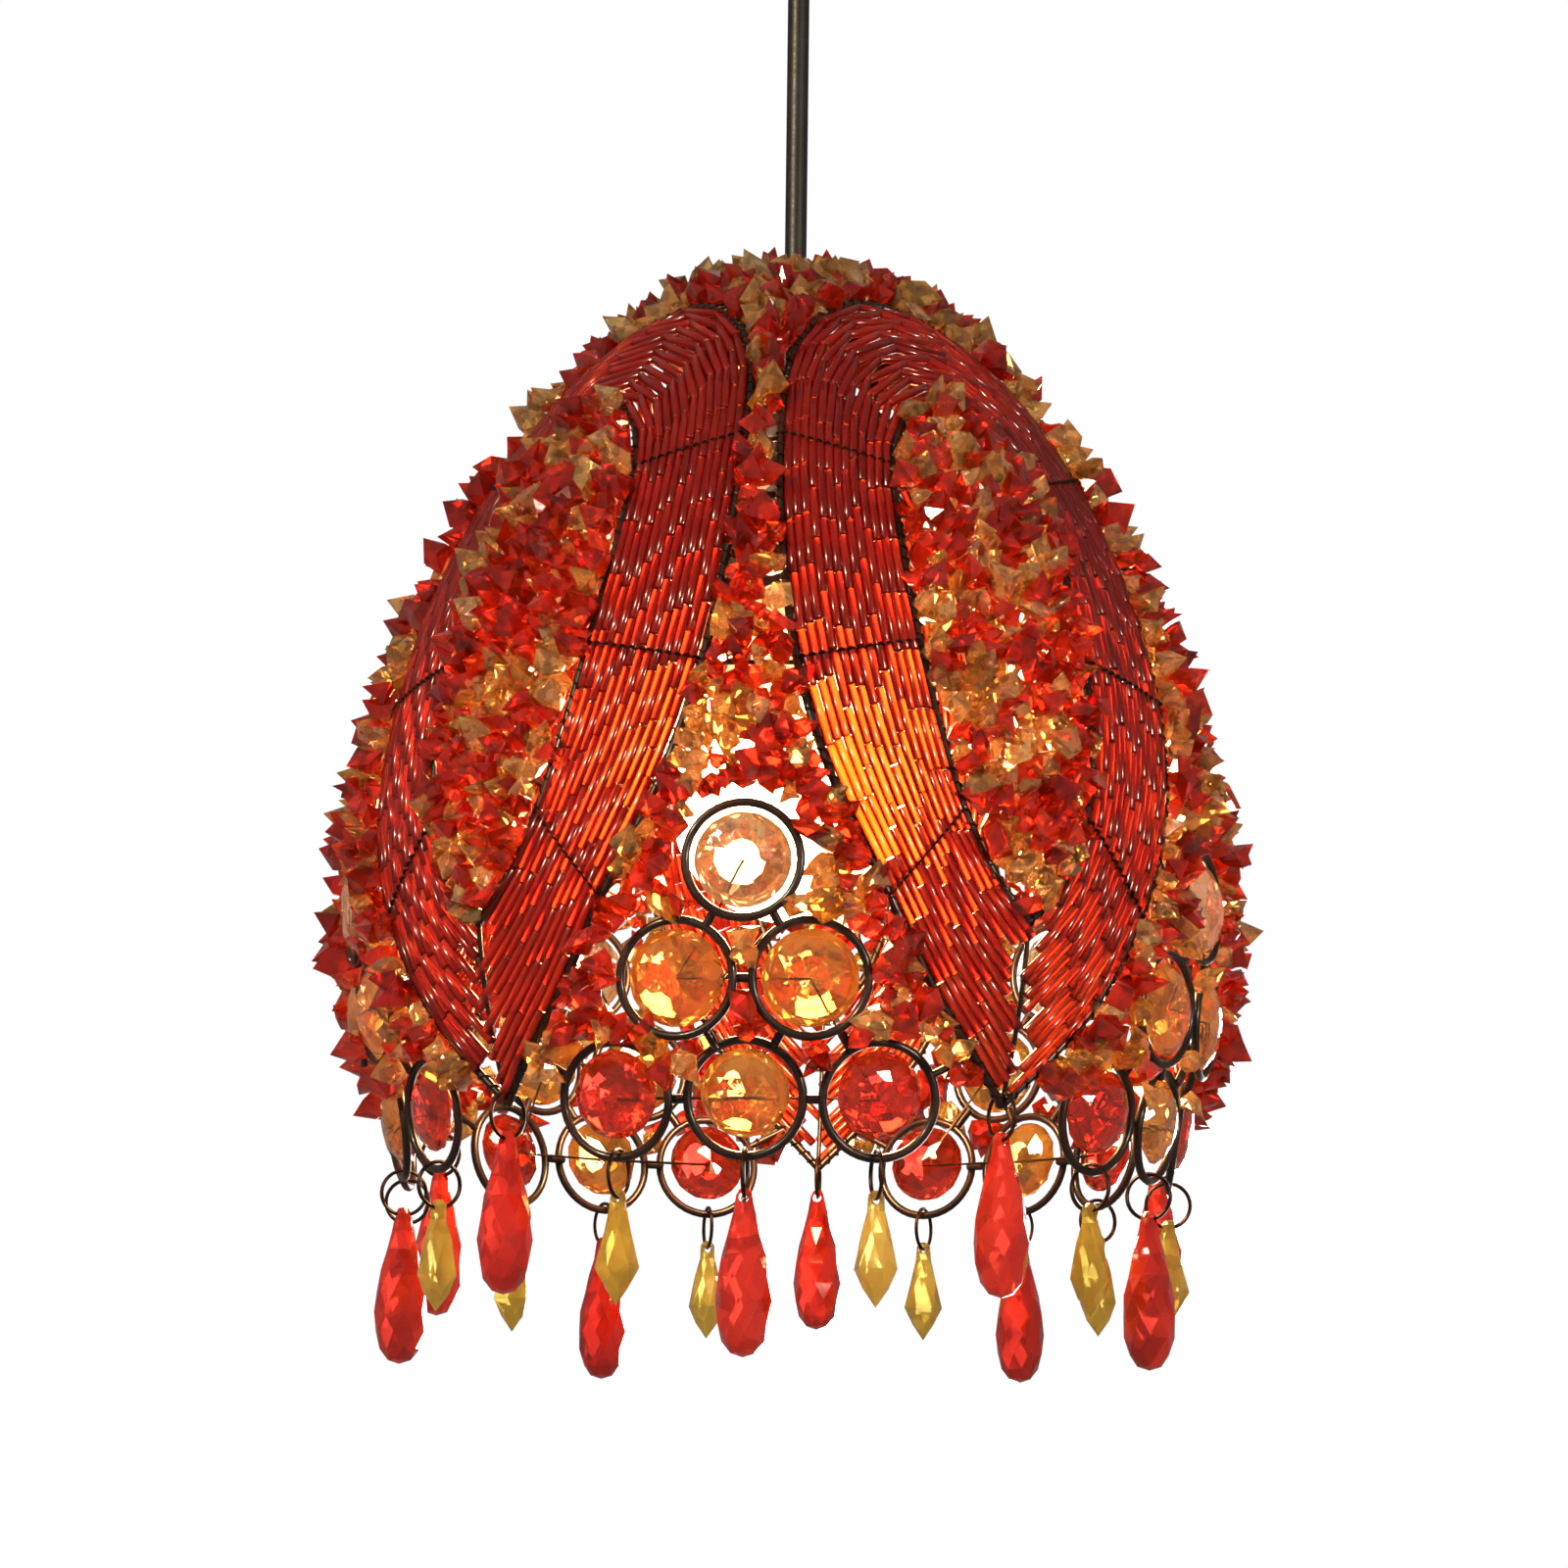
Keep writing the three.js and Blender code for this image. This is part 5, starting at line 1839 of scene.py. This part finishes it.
@dataclass
class Studio:
    """The floor, the lights and the camera."""

    aim_height: float
    floor_drop: float = 0.75
    floor_size: float = 60.0
    distance: float = 1.0
    below_rim: float = 75.6 * MM
    azimuth: float = 5.4
    pitch: float = 10.2
    aside: float = 0.078
    roll: float = 0.7
    lens: float = 91.44
    sensor: float = 36.0
    clip: tuple[float, float] = (0.05, 200.0)
    light_aim: float = 0.1
    ambient: float = 0.2

    def camera(self) -> None:
        """Stand the camera in front of the lamp and below its rim, looking up."""
        turn = math.radians(self.azimuth)
        place = Vector((self.distance * math.sin(turn), -self.distance * math.cos(turn), 0))
        place.z = self.aim_height - self.below_rim
        deselect()
        bpy.ops.object.camera_add(location=place)
        camera = bpy.context.object
        camera.matrix_world = (
            Matrix.Translation(place)
            @ Matrix.Rotation(turn + math.radians(self.aside), 4, "Z")
            @ Matrix.Rotation(math.radians(90 + self.pitch), 4, "X")
            @ Matrix.Rotation(math.radians(self.roll), 4, "Z")
        )
        camera.data.sensor_width = self.sensor
        camera.data.lens = self.lens
        camera.data.clip_start, camera.data.clip_end = self.clip
        bpy.context.scene.camera = camera

    def light(self, lamp: SoftLight) -> None:
        """Add a light that faces the shade.

        Args:
            lamp: The light.
        """
        target = Vector((0, 0, self.aim_height + self.light_aim))
        turn = (Vector(lamp.place) - target).to_track_quat("Z", "Y").to_euler()
        deselect()
        bpy.ops.object.light_add(type="AREA", location=lamp.place, rotation=turn)
        light = bpy.context.object.data
        light.size = lamp.size
        light.energy = lamp.watts
        light.color = linear(lamp.colour)[:3]

    def floor(self) -> None:
        """Lay a plain pale floor well below the lamp, bright by itself but lighting nothing."""
        deselect()
        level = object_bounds()[0].z - self.floor_drop
        bpy.ops.mesh.primitive_plane_add(size=self.floor_size, location=(0, 0, level))
        floor = bpy.context.object
        floor.name = "floor"
        finish = SolidFinish(
            "pale studio floor", "#e6e3df", "#f0eeeb", roughness=(0.7, 0.8), grain=20 * MM, glow=0.6
        )
        floor.data.materials.append(finish.make())
        floor.visible_diffuse = False
        floor.visible_glossy = False
        floor.visible_transmission = False
        floor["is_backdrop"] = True

    def world(self) -> None:
        """Make the studio white behind the lamp, and dim it for light and reflections."""
        world = bpy.data.worlds.new("studio")
        bpy.context.scene.world = world
        world.use_nodes = True
        tree = world.node_tree
        tree.nodes.clear()
        path = add_node(tree, "LightPath", {})
        seen = add_node(tree, "Background", {"Color": linear("#ffffff"), "Strength": 1.0})
        around = add_node(tree, "Background", {"Color": linear("#fff4e8"), "Strength": self.ambient})
        both = add_node(
            tree, "MixShader", {},
            {
                0: path.outputs["Is Camera Ray"], 1: around.outputs["Background"],
                2: seen.outputs["Background"],
            },
        )
        output = tree.nodes.new("ShaderNodeOutputWorld")
        tree.links.new(both.outputs["Shader"], output.inputs["Surface"])

    def build(self) -> None:
        """Set the studio up."""
        self.camera()
        self.floor()
        self.world()
        for lamp in LIGHTS:
            self.light(lamp)
        bpy.context.scene.view_settings.view_transform = "Standard"


# The lampholder's mouth over the rim, half the angle between two petals, and where each loop's tip
# and top are.
HOLDER_HEIGHT = 152 * MM
COLUMN_HALF_ANGLE = 3.2
OUTER_TIP, OUTER_TOP = 14.4 * MM, 221 * MM
INNER_TIP, INNER_TOP, INNER_HALF_ANGLE = 56 * MM, 188 * MM, 14.4


def main() -> None:
    """Build the lamp piece by piece."""
    logging.basicConfig(level=logging.INFO, format="%(name)s: %(message)s")
    # Without a seed, noise_vector follows the clock, and each run bends the wires another way.
    noise.seed_set(SEED)
    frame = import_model()
    deselect()
    dome = Dome(rim=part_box("lampholder")[0].z - HOLDER_HEIGHT)
    Studio(aim_height=dome.rim).build()
    finishes = Finishes(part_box("bulb")[0].z)
    Suspension().build(finishes)
    frame["nodes"]["ceiling_bracket"].data.materials.clear()
    frame["nodes"]["ceiling_bracket"].data.materials.append(finishes.zinc)
    half_angle = dome.sector / 2 - COLUMN_HALF_ANGLE
    outer = PetalOutline(OUTER_TIP, OUTER_TOP, half_angle, OUTER_SHARES)
    inner = PetalOutline(INNER_TIP, INNER_TOP, INNER_HALF_ANGLE, INNER_SHARES)
    rows = RingRows(dome)
    WireFrame(dome, outer, inner, rows).build(finishes)
    BeadBands(dome, outer, inner).build(finishes)
    ChipBeads(dome, outer, inner, rows).build(finishes)
    Stones(dome, rows).build(finishes)
    LightSource().build(finishes)
    Fringe().build(finishes)


if __name__ == "__main__":
    main()
